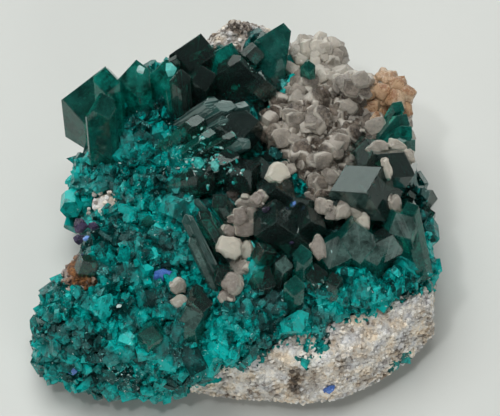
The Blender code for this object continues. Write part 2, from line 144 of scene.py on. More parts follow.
class Bench:
    """Blender's modelling tools, used on one object at a time."""

    @staticmethod
    def primitive(add: Callable[..., set[str]], name: str, **sizes: object) -> bpy.types.Object:
        """Adds a primitive.

        Args:
            add: The operator that adds it.
            name: The new object's name.
            sizes: The operator's settings.

        Returns:
            The new object.
        """
        bpy.ops.object.select_all(action="DESELECT")
        add(**sizes)
        obj = bpy.context.object
        obj.name = name
        return obj

    @staticmethod
    @contextmanager
    def editing(obj: bpy.types.Object) -> Iterator[None]:
        """Opens an object in edit mode, with all of its mesh selected, for as long as the block lasts."""
        Bench.pick([obj])
        bpy.ops.object.mode_set(mode="EDIT")
        bpy.ops.mesh.select_mode(type="FACE")
        bpy.ops.mesh.select_all(action="SELECT")
        yield
        bpy.ops.object.mode_set(mode="OBJECT")

    @staticmethod
    def pick(objects: list[bpy.types.Object]) -> None:
        """Selects these objects alone, the first one active."""
        bpy.ops.object.select_all(action="DESELECT")
        for obj in objects:
            obj.select_set(True)
        bpy.context.view_layer.objects.active = objects[0]

    @staticmethod
    def select_faces(obj: bpy.types.Object, wanted: Callable[[bpy.types.MeshPolygon], bool]) -> None:
        """In edit mode, selects the faces that pass a test, and nothing else."""
        bpy.ops.mesh.select_all(action="DESELECT")
        bpy.ops.object.mode_set(mode="OBJECT")
        for face in obj.data.polygons:
            face.select = wanted(face)
        bpy.ops.object.mode_set(mode="EDIT")

    @staticmethod
    def cut(point: Vector, normal: Vector) -> None:
        """In edit mode, cuts away what lies beyond a plane and closes the cut."""
        bpy.ops.mesh.select_all(action="SELECT")
        bpy.ops.mesh.bisect(plane_co=point, plane_no=normal, use_fill=True, clear_outer=True, threshold=1e-7)

    @staticmethod
    def modify(obj: bpy.types.Object, kind: str, **settings: object) -> None:
        """Gives an object a modifier and applies it.

        Args:
            obj: The object.
            kind: The modifier's type.
            settings: The modifier's values by name.
        """
        modifier = obj.modifiers.new(kind.lower(), kind)
        for name, value in settings.items():
            setattr(modifier, name, value)
        Bench.pick([obj])
        bpy.ops.object.modifier_apply(modifier=modifier.name)

    @staticmethod
    def copy_of(node: str, name: str) -> bpy.types.Object:
        """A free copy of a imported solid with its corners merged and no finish."""
        obj = bpy.data.objects.new(name, frame["nodes"][node].data.copy())
        obj.data.materials.clear()
        bpy.context.scene.collection.objects.link(obj)
        with Bench.editing(obj):
            bpy.ops.mesh.remove_doubles(threshold=1e-6)
        return obj

    @staticmethod
    def note(mesh: bpy.types.Mesh, **values: Iterable[float]) -> None:
        """Keeps values of a mesh's corners as attributes of these names."""
        for name, numbers in values.items():
            attribute = mesh.attributes.new(name, "FLOAT", "POINT")
            attribute.data.foreach_set("value", np.array(numbers, dtype=np.float32))

    @staticmethod
    def join(objects: list[bpy.types.Object], name: str) -> bpy.types.Object:
        """Gathers several objects into the first one."""
        Bench.pick(objects)
        if len(objects) > 1:
            bpy.ops.object.join()
        objects[0].name = name
        objects[0].data.name = name
        return objects[0]


class Ground:
    """The outer surface of some objects, in millimetres, to seat crystals on."""

    FAR = 200.0

    def __init__(self, objects: Iterable[bpy.types.Object]) -> None:
        """Reads the objects' meshes, which lie where they are."""
        corners, faces = [], []
        for obj in objects:
            first = len(corners)
            corners.extend(vertex.co / MM for vertex in obj.data.vertices)
            faces.extend([first + index for index in face.vertices] for face in obj.data.polygons)
        self.corners = np.array([tuple(corner) for corner in corners])
        self.faces = faces
        self.tree = BVHTree.FromPolygons(corners, faces)

    def behind(self, right: float, up: float) -> tuple[Vector, Vector]:
        """The surface behind a place on the face.

        Args:
            right: How far right the place lies.
            up: How far up it lies.

        Returns:
            The point and the surface's direction there. Past the outline it is as deep as the nearest point.
        """
        point, normal, _, _ = self.tree.ray_cast(FACE.point(right, up, self.FAR), -FACE.toward)
        if point is None:
            near, normal, _, _ = self.tree.find_nearest(FACE.point(right, up, 0))
            point = FACE.point(right, up, FACE.place(near).z)
        return point, normal

    def reach(self, point: Vector, out: Vector, span: float) -> float | None:
        """How far out of a point the surface lies, looked for from the outside, within a span."""
        hit = self.tree.ray_cast(point + out * span, -out, span)[0]
        return None if hit is None else (hit - point).dot(out)

    def samples(self, spacing: float, seed: int) -> list[tuple[Vector, Vector]]:
        """Points spread at random over the surface, one in each cell of a grid.

        Args:
            spacing: The size of the cells, about the distance between the points.
            seed: What the chance starts from.

        Returns:
            Each point with the surface's direction there.
        """
        chance = np.random.default_rng(seed)
        triangles = np.array([(face[0], a, b) for face in self.faces for a, b in zip(face[1:], face[2:])])
        a, b, c = (self.corners[triangles[:, side]] for side in range(3))
        cross = np.cross(b - a, c - a)
        area = np.linalg.norm(cross, axis=1) / 2
        count = int(6 * area.sum() / spacing**2)
        chosen = chance.choice(len(area), count, p=area / area.sum())
        share = chance.random((count, 2))
        share = np.where(share.sum(1, keepdims=True) > 1, 1 - share, share)
        points = a[chosen] + share[:, :1] * (b - a)[chosen] + share[:, 1:] * (c - a)[chosen]
        normals = cross[chosen] / (2 * area[chosen, None])
        cells = np.floor(points / spacing).astype(int)
        first = np.sort(np.unique(cells, axis=0, return_index=True)[1])
        return [(Vector(point), Vector(normal)) for point, normal in zip(points[first], normals[first])]


def turned_to(axis: Vector, spin: float) -> Matrix:
    """A turn that points +Z along an axis, with the face's right at the spin's zero.

    Args:
        axis: Where +Z goes.
        spin: The turn about it, in degrees.

    Returns:
        The rotation, 4 by 4.
    """
    side = (FACE.right - axis * FACE.right.dot(axis)).normalized()
    turn = Matrix((side, axis.cross(side), axis)).transposed()
    return (turn @ Matrix.Rotation(math.radians(spin), 3, "Z")).to_4x4()


@dataclass(frozen=True)
class Shape:
    """A modelled shape: its corners in millimetres, its triangles and how near the rim each corner is."""

    corners: np.ndarray
    triangles: np.ndarray
    rim: np.ndarray

    @classmethod
    def taken_from(cls, obj: bpy.types.Object, rim: Callable[[Vector], float] = lambda place: 0.0) -> "Shape":
        """Reads a modelled object and removes it.

        Args:
            obj: The object.
            rim: How near the rim a corner is, from 0 to 1.

        Returns:
            The shape.
        """
        mesh = obj.data
        mesh.calc_loop_triangles()
        corners = np.array([tuple(vertex.co / MM) for vertex in mesh.vertices])
        triangles = np.array([tuple(triangle.vertices) for triangle in mesh.loop_triangles])
        near = np.array([rim(vertex.co / MM) for vertex in mesh.vertices])
        bpy.data.objects.remove(obj)
        return cls(corners, triangles, near)


class Crowd:
    """Many small copies of a few modelled shapes, gathered into one mesh."""

    def __init__(self, shapes: list[Shape]) -> None:
        """Starts with no copies."""
        self.shapes = shapes
        self.corners: list[np.ndarray] = []
        self.triangles: list[np.ndarray] = []
        self.tone: list[np.ndarray] = []
        self.rim: list[np.ndarray] = []
        self.total = 0

    def add(self, kind: int, place: Matrix, tone: float, rim: float | None = None) -> None:
        """Adds a copy of a shape.

        Args:
            kind: Which of the shapes.
            place: Where it goes, in millimetres.
            tone: Its tone, from 0 to 1.
            rim: A value for all of it, in place of how near the rim each corner is.
        """
        shape = self.shapes[kind % len(self.shapes)]
        turn = np.array(place)
        self.corners.append(shape.corners @ turn[:3, :3].T + turn[:3, 3])
        self.triangles.append(shape.triangles + self.total)
        self.tone.append(np.full(len(shape.corners), tone))
        self.rim.append(shape.rim if rim is None else np.full(len(shape.corners), rim))
        self.total += len(shape.corners)

    def build(self, name: str, smooth_angle: float | None = None) -> bpy.types.Object:
        """The mesh of all the copies, with their tone and rim as attributes.

        Args:
            name: The object's name.
            smooth_angle: Edges flatter than this are shaded smooth. None leaves every face flat.

        Returns:
            The object.
        """
        mesh = bpy.data.meshes.new(name)
        corners = np.concatenate(self.corners) * MM
        corners[:, 2] = np.maximum(corners[:, 2], 0)
        mesh.from_pydata(corners.tolist(), [], np.concatenate(self.triangles).tolist())
        Bench.note(mesh, tone=np.concatenate(self.tone), rim=np.concatenate(self.rim))
        obj = bpy.data.objects.new(name, mesh)
        bpy.context.scene.collection.objects.link(obj)
        if smooth_angle is not None:
            Bench.pick([obj])
            bpy.ops.object.shade_smooth_by_angle(angle=smooth_angle)
        return obj


class Tree:
    """A node tree that is filled node by node."""

    def __init__(self, tree: bpy.types.NodeTree) -> None:
        """Works on an empty tree."""
        self.tree = tree
        self.tree.nodes.clear()

    def add(self, kind: str, inputs: dict | None = None, **settings: object) -> bpy.types.Node:
        """Adds a node.

        Args:
            kind: The node's type, without the word ShaderNode.
            inputs: Socket by name or number, with the value or the output that it gets.
            settings: The node's own settings by name.

        Returns:
            The node.
        """
        node = self.tree.nodes.new(kind if kind.startswith("NodeGroup") else f"ShaderNode{kind}")
        for name, value in settings.items():
            setattr(node, name, value)
        for name, value in (inputs or {}).items():
            if isinstance(value, bpy.types.NodeSocket):
                self.tree.links.new(value, node.inputs[name])
            else:
                node.inputs[name].default_value = value
        return node

    def ramp(self, factor: Socket, stops: list[tuple[float, Colour]]) -> Socket:
        """Turns a value to a colour along a ramp of stops, and returns the colour."""
        node = self.add("ValToRGB", {"Fac": factor})
        elements = node.color_ramp.elements
        while len(elements) < len(stops):
            elements.new(1.0)
        for element, (place, colour) in zip(elements, stops):
            element.position = place
            element.color = (*colour, 1)
        return node.outputs["Color"]

    def math(self, operation: str, first: object, second: object = 0.0, clamp: bool = False) -> Socket:
        """A sum of two values."""
        return self.add("Math", {0: first, 1: second}, operation=operation, use_clamp=clamp).outputs[0]

    def mix(self, factor: object, first: object, second: object, blend: str = "MIX") -> Socket:
        """A blend of two colours."""
        node = self.add("Mix", data_type="RGBA", blend_type=blend)
        for name, value in (("Factor", factor), ("A", first), ("B", second)):
            socket = next(socket for socket in node.inputs if socket.name == name and socket.enabled)
            if isinstance(value, Socket):
                self.tree.links.new(value, socket)
            else:
                socket.default_value = (*value, 1) if isinstance(value, tuple) else value
        return next(socket for socket in node.outputs if socket.enabled)

    def noise(self, where: Socket, scale: object, detail: float, roughness: float = 0.5) -> Socket:
        """Soft noise of a size."""
        inputs = {"Vector": where, "Scale": scale, "Detail": detail, "Roughness": roughness}
        return self.add("TexNoise", inputs).outputs["Fac"]

    def swing(self, value: Socket, width: float) -> Socket:
        """A value's distance from one half, made so many times as wide."""
        return self.math("MULTIPLY", self.math("SUBTRACT", value, 0.5), width)

    def remap(self, value: Socket, low: float, high: float, top: float = 1.0) -> Socket:
        """Spreads the values from low to high over 0 to top."""
        inputs = {"Value": value, "From Min": low, "From Max": high, "To Max": top}
        return self.add("MapRange", inputs).outputs[0]

    def bump(self, height: Socket, strength: float, depth: float) -> Socket:
        """The normals of a relief so many millimetres deep."""
        return self.add("Bump", {"Height": height, "Strength": strength, "Distance": depth * MM}).outputs[0]

    def attribute(self, name: str) -> Socket:
        """A value that the mesh's corners keep."""
        return self.add("Attribute", attribute_name=name).outputs["Fac"]

    def pattern(self, pattern: "Pattern", where: Socket, **values: float) -> Socket:
        """What a shared pattern gives, with its own values by name."""
        return self.add("Group", {"Vector": where, **values}, node_tree=pattern.group()).outputs[0]


@dataclass(frozen=True)
class Pattern:
    """A pattern that several finishes share: a shader group from a vector and some numbers to a value."""

    name: str
    numbers: tuple[str, ...]
    draw: Callable[[Tree, bpy.types.NodeOutputs], Socket]

    def group(self) -> bpy.types.NodeTree:
        """The shader group, made once."""
        if self.name in bpy.data.node_groups:
            return bpy.data.node_groups[self.name]
        group = bpy.data.node_groups.new(self.name, "ShaderNodeTree")
        group.interface.new_socket("Vector", in_out="INPUT", socket_type="NodeSocketVector")
        for number in self.numbers:
            group.interface.new_socket(number, in_out="INPUT", socket_type="NodeSocketFloat")
        group.interface.new_socket("Value", in_out="OUTPUT", socket_type="NodeSocketFloat")
        tree = Tree(group)
        tree.add("NodeGroupOutput", {"Value": self.draw(tree, tree.add("NodeGroupInput").outputs)})
        return group


def draw_mottle(tree: Tree, given: bpy.types.NodeOutputs) -> Socket:
    """Soft blotches with a finer grain over them, round one half."""
    coarse = tree.noise(given["Vector"], given["Scale"], 4.0, 0.6)
    fine = tree.noise(given["Vector"], tree.math("MULTIPLY", given["Scale"], 5.3), 3.0, 0.7)
    return tree.math("ADD", coarse, tree.swing(fine, given["Grain"]), clamp=True)


def draw_growth(tree: Tree, given: bpy.types.NodeOutputs) -> Socket:
    """The height of growth lines along a crystal, where X runs across them."""
    drawn = tree.add("Mapping", {"Vector": given["Vector"], "Scale": (1.0, 0.06, 1.0)}).outputs[0]
    lines = tree.noise(drawn, given["Lines"], 3.0, 0.75)
    wide = tree.noise(drawn, tree.math("MULTIPLY", given["Lines"], 0.3), 1.0)
    return tree.math("ADD", lines, wide)


def draw_shards(tree: Tree, given: bpy.types.NodeOutputs) -> Socket:
    """Sharp-edged shards, each with a value of its own from 0 to 1."""
    mapping = {"Vector": given["Vector"], "Rotation": (0.6, 0.4, 0.9), "Scale": (1.0, 0.45, 0.8)}
    turned = tree.add("Mapping", mapping).outputs[0]
    cells = tree.add("TexVoronoi", {"Vector": turned, "Scale": given["Scale"]})
    return tree.add("SeparateColor", {"Color": cells.outputs["Color"]}).outputs[0]


MOTTLE = Pattern("mottle", ("Scale", "Grain"), draw_mottle)
GROWTH_LINES = Pattern("growth_lines", ("Lines",), draw_growth)
SHARDS = Pattern("shards", ("Scale",), draw_shards)


@dataclass(frozen=True)
class Finish:
    """What every finish has: a name and the material of that name."""

    name: str

    def material(self) -> bpy.types.Material:
        """The material, made once."""
        if self.name in bpy.data.materials:
            return bpy.data.materials[self.name]
        made = bpy.data.materials.new(self.name)
        made.use_nodes = True
        tree = Tree(made.node_tree)
        tree.add("OutputMaterial", self.draw(tree, tree.add("TexCoord").outputs["Object"]))
        return made

    def draw(self, tree: Tree, where: Socket) -> dict[str, Socket]:
        """Draws the finish.

        Args:
            tree: The material's tree, still empty.
            where: The place on the object.

        Returns:
            The surface, and for clear crystal what is inside it.
        """
        raise NotImplementedError


@dataclass(frozen=True)
class DioptaseFinish(Finish):
    """Clear dioptase: an even colour that deepens with thickness, glassy faces and faint growth lines."""

    absorbed: Colour
    density: float
    tint: Colour = (0.6, 1.0, 0.93)
    uneven: float = 0.3
    clearness: float = 0.985
    roughness: float = 0.03
    refraction: float = 1.67
    shine: Colour = (0.8, 1.0, 0.93)
    lines: float = 0.9
    line_depth: float = 0.04
    streaks: float = 0.0
    streak: Colour = (0.26, 0.33, 0.31)

    def draw(self, tree: Tree, where: Socket) -> dict[str, Socket]:
        """Draws uneven glass that takes up light inside, with its growth lines."""
        across = tree.add("UVMap", uv_map="growth").outputs["UV"]
        lines = tree.pattern(GROWTH_LINES, across, Lines=self.lines)
        mottle = tree.pattern(MOTTLE, where, Scale=420.0, Grain=0.5)
        faint = tuple((1 - self.uneven) * share for share in self.tint)
        colour = tree.mix(tree.remap(mottle, 0.35, 0.65), faint, self.tint)
        # The streaks follow the growth lines; their pale grey is painted reflection.
        if self.streaks:
            colour = tree.mix(tree.remap(lines, 1.06, 1.2, self.streaks), colour, self.streak)
        shader = tree.add("BsdfPrincipled", {
            "Base Color": colour,
            "Roughness": tree.math("MULTIPLY", mottle, 2 * self.roughness),
            "Metallic": 0.0,
            "IOR": self.refraction,
            "Transmission Weight": self.clearness,
            "Specular Tint": (*self.shine, 1),
            "Normal": tree.bump(lines, 0.2, self.line_depth),
        })
        inside = tree.add("VolumeAbsorption", {"Color": (*self.absorbed, 1), "Density": self.density})
        return {"Surface": shader.outputs[0], "Volume": inside.outputs[0]}


@dataclass(frozen=True)
class DruseFinish(Finish):
    """Small intergrown dioptase: bright teal to nearly black by crystal, glassy facets, painted sheen and
    glints.
    """

    name: str = "dioptase_druse"
    clearness: float = 0.3
    roughness: float = 0.18
    refraction: float = 1.66
    # The grey mixed over some facets is a painted reflection, and the pale specks are painted glints.
    painted_grey_sheen: Colour = (0.045, 0.09, 0.088)
    shine: Colour = (0.3, 1.0, 0.95)
    painted_glint: Colour = (0.62, 0.8, 0.76)

    def draw(self, tree: Tree, where: Socket) -> dict[str, Socket]:
        """Draws crystals by their tone, broken by shards and painted sheen, with white painted glints where
        they sparkle.
        """
        tone = tree.attribute("tone")
        mottle = tree.pattern(MOTTLE, where, Scale=900.0, Grain=0.8)
        shards = tree.pattern(SHARDS, where, Scale=1300.0)
        swing = tree.swing(mottle, 1.4)
        broken = tree.swing(shards, 0.65)
        colour = tree.ramp(tree.math("ADD", tone, tree.math("ADD", swing, broken), clamp=True), [
            (0.0, (0.001, 0.014, 0.013)),
            (0.28, (0.001, 0.06, 0.055)),
            (0.5, (0.0, 0.17, 0.155)),
            (0.75, (0.0, 0.32, 0.29)),
            (1.0, (0.004, 0.5, 0.46)),
        ])
        # Painted reflection: patches of facets turn grey, as if they mirrored the grey room.
        grey_sheen_mask = tree.remap(tree.noise(where, 190.0, 3.0, 0.7), 0.5, 0.66, 0.7)
        colour = tree.mix(grey_sheen_mask, colour, self.painted_grey_sheen)
        grit = tree.noise(where, 2600.0, 2.0, 0.8)
        # Painted glints: white specks in fine noise, more of them where the rim value marks the glint patches.
        glint_noise = tree.noise(where, 1700.0, 3.0, 0.8)
        glint_mask = tree.math("ADD", glint_noise, tree.math("MULTIPLY", tree.attribute("rim"), 0.13))
        colour = tree.mix(tree.remap(glint_mask, 0.66, 0.7, 0.9), colour, self.painted_glint)
        relief = tree.math("ADD", grit, tree.math("MULTIPLY", shards, 0.6))
        shader = tree.add("BsdfPrincipled", {
            "Base Color": colour,
            "Roughness": tree.math("MULTIPLY", mottle, 2 * self.roughness),
            "IOR": self.refraction,
            "Transmission Weight": self.clearness,
            "Specular Tint": (*self.shine, 1),
            "Normal": tree.bump(relief, 0.55, 0.14),
        })
        return {"Surface": shader.outputs[0]}


@dataclass(frozen=True)
class CalciteFinish(Finish):
    """Calcite: milky, with paler rims, small stains and painted glints."""

    body: Colour
    stain: Colour
    pale: Colour
    clearness: float = 0.25
    roughness: float = 0.3
    refraction: float = 1.6
    painted_glint: Colour = (0.88, 0.86, 0.8)

    def draw(self, tree: Tree, where: Socket) -> dict[str, Socket]:
        """Draws a stained body that is paler by its tone and at its rims, with painted glints as pale specks.
        """
        mottle = tree.pattern(MOTTLE, where, Scale=450.0, Grain=0.8)
        colour = tree.mix(tree.remap(mottle, 0.36, 0.64), self.stain, self.body)
        colour = tree.mix(tree.math("MULTIPLY", tree.attribute("tone"), 0.8), colour, self.pale)
        colour = tree.mix(tree.math("MULTIPLY", tree.attribute("rim"), 0.75), colour, self.pale)
        # Painted glints: pale specks in fine noise.
        glint_noise = tree.noise(where, 2200.0, 3.0, 0.8)
        colour = tree.mix(tree.remap(glint_noise, 0.66, 0.72, 0.8), colour, self.painted_glint)
        relief = tree.math("ADD", mottle, tree.math("MULTIPLY", glint_noise, 0.6))
        shader = tree.add("BsdfPrincipled", {
            "Base Color": colour,
            "Roughness": tree.math("MULTIPLY", mottle, 2 * self.roughness),
            "IOR": self.refraction,
            "Transmission Weight": self.clearness,
            "Subsurface Weight": 0.15,
            "Subsurface Radius": (1.0, 0.8, 0.7),
            "Subsurface Scale": 0.8 * MM,
            "Normal": tree.bump(relief, 0.7, 0.24),
        })
        return {"Surface": shader.outputs[0]}


@dataclass(frozen=True)
class RockFinish(Finish):
    """Grainy rock: grey, brown and white grains by their tone, with rust where the rim value says so."""

    name: str = "grainy_rock"
    grain_size: float = 0.3

    def draw(self, tree: Tree, where: Socket) -> dict[str, Socket]:
        """Draws mottled grains, cool and warm by turns, and browns them with rust."""
        mottle = tree.pattern(MOTTLE, where, Scale=1 / (2 * self.grain_size * MM), Grain=0.9)
        colour = tree.ramp(tree.math("ADD", tree.attribute("tone"), tree.swing(mottle, 0.8), clamp=True), [
            (0.0, (0.07, 0.058, 0.048)),
            (0.2, (0.25, 0.21, 0.17)),
            (0.45, (0.47, 0.435, 0.385)),
            (0.7, (0.64, 0.62, 0.575)),
            (1.0, (0.84, 0.82, 0.76)),
        ])
        warm = tree.ramp(tree.noise(where, 420.0, 3.0, 0.7), [
            (0.36, (0.84, 0.87, 0.94)),
            (0.5, (1.0, 0.99, 0.98)),
            (0.64, (1.0, 0.88, 0.74)),
        ])
        colour = tree.mix(1.0, colour, warm, blend="MULTIPLY")
        brown = tree.ramp(mottle, [
            (0.3, (0.012, 0.008, 0.004)),
            (0.5, (0.09, 0.036, 0.012)),
            (0.72, (0.36, 0.16, 0.055)),
        ])
        colour = tree.mix(tree.attribute("rim"), colour, brown)
        shader = tree.add("BsdfPrincipled", {
            "Base Color": colour,
            "Roughness": tree.math("ADD", tree.math("MULTIPLY", mottle, 0.5), 0.35),
            "Normal": tree.bump(mottle, 0.6, 0.25),
        })
        return {"Surface": shader.outputs[0]}


DARK_DIOPTASE = DioptaseFinish("dioptase_dark", absorbed=(0.0, 0.79, 0.75), density=1500.0)
DEEP_DIOPTASE = DioptaseFinish(
    "dioptase_deep", absorbed=(0.0, 0.82, 0.77), density=800.0, tint=(0.06, 0.6, 0.5), uneven=0.6,
    clearness=0.9,
)
# Partly painted glow: less absorption and a milky bright green body, for light shining through from behind.
EMERALD_DIOPTASE = DioptaseFinish(
    "dioptase_emerald", absorbed=(0.0, 0.82, 0.76), density=500.0, tint=(0.01, 0.58, 0.46), uneven=0.85,
    clearness=0.8,
)
# Streaked blades: their pale streaks along the growth lines are painted reflection.
STREAKED_DIOPTASE = DioptaseFinish(
    "dioptase_streaked", absorbed=(0.0, 0.8, 0.75), density=1100.0, tint=(0.035, 0.1, 0.09), uneven=0.5,
    clearness=0.4, roughness=0.08, lines=1.8, line_depth=0.12, streaks=0.55,
)
# Painted reflection: this grey-green body stands in for the pale room mirrored in the faces.
SHEEN_DIOPTASE = DioptaseFinish(
    "dioptase_painted_sheen", absorbed=(0.0, 0.8, 0.75), density=1200.0, tint=(0.09, 0.17, 0.15), uneven=0.75,
    clearness=0.4, roughness=0.12, lines=1.4, streaks=0.3,
)
DRUSE = DruseFinish()
# Body between the lenses: its dark is partly the calcite's deep tone, partly painted shade in the gaps.
DEEP_CALCITE = CalciteFinish("calcite_deep", (0.15, 0.12, 0.093), (0.04, 0.03, 0.022), (0.75, 0.71, 0.61))
GREY_CALCITE = CalciteFinish(
    "calcite_grey", (0.27, 0.225, 0.18), (0.05, 0.037, 0.028), (0.88, 0.83, 0.72), 0.45, 0.07
)
STAINED_CALCITE = CalciteFinish("calcite_stained", (0.5, 0.33, 0.19), (0.27, 0.12, 0.05), (0.66, 0.5, 0.34))
CREAM_CALCITE = CalciteFinish(
    "calcite_cream", (0.33, 0.285, 0.255), (0.15, 0.115, 0.1), (0.95, 0.9, 0.76), 0.5, 0.08
)
# Painted flashes: the blue and white faces are painted reflections and glints; the violet ones are partly
# purple crystal.
BLUE_GLINT = CalciteFinish("glint_blue", (0.09, 0.22, 0.62), (0.02, 0.07, 0.3), (0.25, 0.45, 0.9), 0.2, 0.1)
VIOLET_GLINT = CalciteFinish(
    "glint_violet", (0.06, 0.045, 0.1), (0.012, 0.012, 0.02), (0.13, 0.11, 0.26), 0.3, 0.1
)
WHITE_GLINT = CalciteFinish("glint_white", (0.06, 0.6, 0.54), (0.0, 0.25, 0.22), (0.9, 0.98, 0.95), 0.2, 0.08)
ROCK = RockFinish()


def dress(obj: bpy.types.Object, finish: Finish, slot: Slot, *nodes: str) -> None:
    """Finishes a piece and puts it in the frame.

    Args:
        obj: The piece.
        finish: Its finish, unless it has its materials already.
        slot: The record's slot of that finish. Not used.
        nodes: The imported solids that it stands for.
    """
    if not obj.data.materials:
        obj.data.materials.append(finish.material())
    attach(obj, BODY)
    if nodes:
        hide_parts(*nodes)
    obj.data.calc_loop_triangles()
    log.info("%s: %d triangles", obj.name, len(obj.data.loop_triangles))


@dataclass(frozen=True)
class Prism:
    """A large prism by the place of its tip on the face, its lean and the distance of its six sides.

    rise is the tip's height above the rock, tilt how far it leans from the viewer, heading where it leans to
    along the face, and roll its turn about its axis from where an end face looks at the viewer, in degrees.
    sides are measured from the axis. The last field lists the end faces painted a grey-green sheen, a painted
    reflection of the pale room, and steps is how many end faces carry a growth plate.
    """

    tip: tuple[float, float]
    rise: float
    tilt: float
    heading: float
    roll: float
    sides: tuple[float, ...]
    habit: Habit = Habit.DARK
    steps: int = 0
    sheened: tuple[int, ...] = ()


@dataclass(frozen=True)
class PrismForm:
    """What all dioptase prisms share: the tilt of their three end faces and how they are cut."""

    end_tilt: float = math.radians(51)
    bevel: float = 0.07
    step_inset: float = 0.22
    step_height: float = 0.12

    def end_normal(self, turn: int) -> Vector:
        """The direction of one of the three end faces of an upright prism."""
        upright = Vector((math.sin(self.end_tilt), 0, math.cos(self.end_tilt)))
        return Matrix.Rotation(math.radians(120 * turn), 3, "Z") @ upright

    def side_normal(self, turn: int) -> Vector:
        """The direction of one of the six sides."""
        return Matrix.Rotation(math.radians(30 + 60 * turn), 3, "Z") @ Vector((1, 0, 0))

    def cut(self, name: str, sides: tuple[float, ...], length: float, bevel: bool = True) -> bpy.types.Object:
        """Models an upright prism with its tip at the origin.

        Args:
            name: The object's name.
            sides: How far each of its six sides stands from its axis.
            length: From its tip to its root.
            bevel: Whether its edges are broken.

        Returns:
            The prism, in metres.
        """
        reach = 2.5 * max(sides)
        obj = Bench.primitive(
            bpy.ops.mesh.primitive_cylinder_add, name, vertices=6, radius=reach * MM,
            depth=(length + reach) * MM, location=(0, 0, (reach - length) / 2 * MM),
        )
        bpy.ops.object.transform_apply(location=True)
        with Bench.editing(obj):
            for turn, distance in enumerate(sides):
                normal = self.side_normal(turn)
                Bench.cut(normal * distance * MM, normal)
            for turn in range(3):
                Bench.cut(Vector(), self.end_normal(turn))
            if bevel:
                bpy.ops.mesh.select_all(action="SELECT")
                bpy.ops.mesh.bevel(offset=self.bevel * MM, segments=1, affect="EDGES", clamp_overlap=True)
        return obj

    def step(self, obj: bpy.types.Object, turn: int, radius: float) -> None:
        """Raises a growth plate on one of the end faces."""
        normal = self.end_normal(turn)
        with Bench.editing(obj):
            Bench.select_faces(obj, lambda face: face.normal.dot(normal) > 0.999)
            bpy.ops.mesh.inset(thickness=self.step_inset * radius * MM, depth=0)
            bpy.ops.mesh.inset(thickness=0.03 * MM, depth=self.step_height * MM)

    def draw_lines(self, obj: bpy.types.Object, shift: float) -> None:
        """Gives an upright prism the map that its growth lines follow: across and along each face."""
        layer = obj.data.uv_layers.new(name="growth")
        for face in obj.data.polygons:
            across = Vector((-face.normal.y, face.normal.x, 0))
            across = across.normalized() if across.length > 1e-4 else Vector((1, 0, 0))
            along = face.normal.cross(across)
            for loop in face.loop_indices:
                corner = obj.data.vertices[obj.data.loops[loop].vertex_index].co / MM
                layer.data[loop].uv = (corner.dot(across) + shift, corner.dot(along) + 3 * shift)


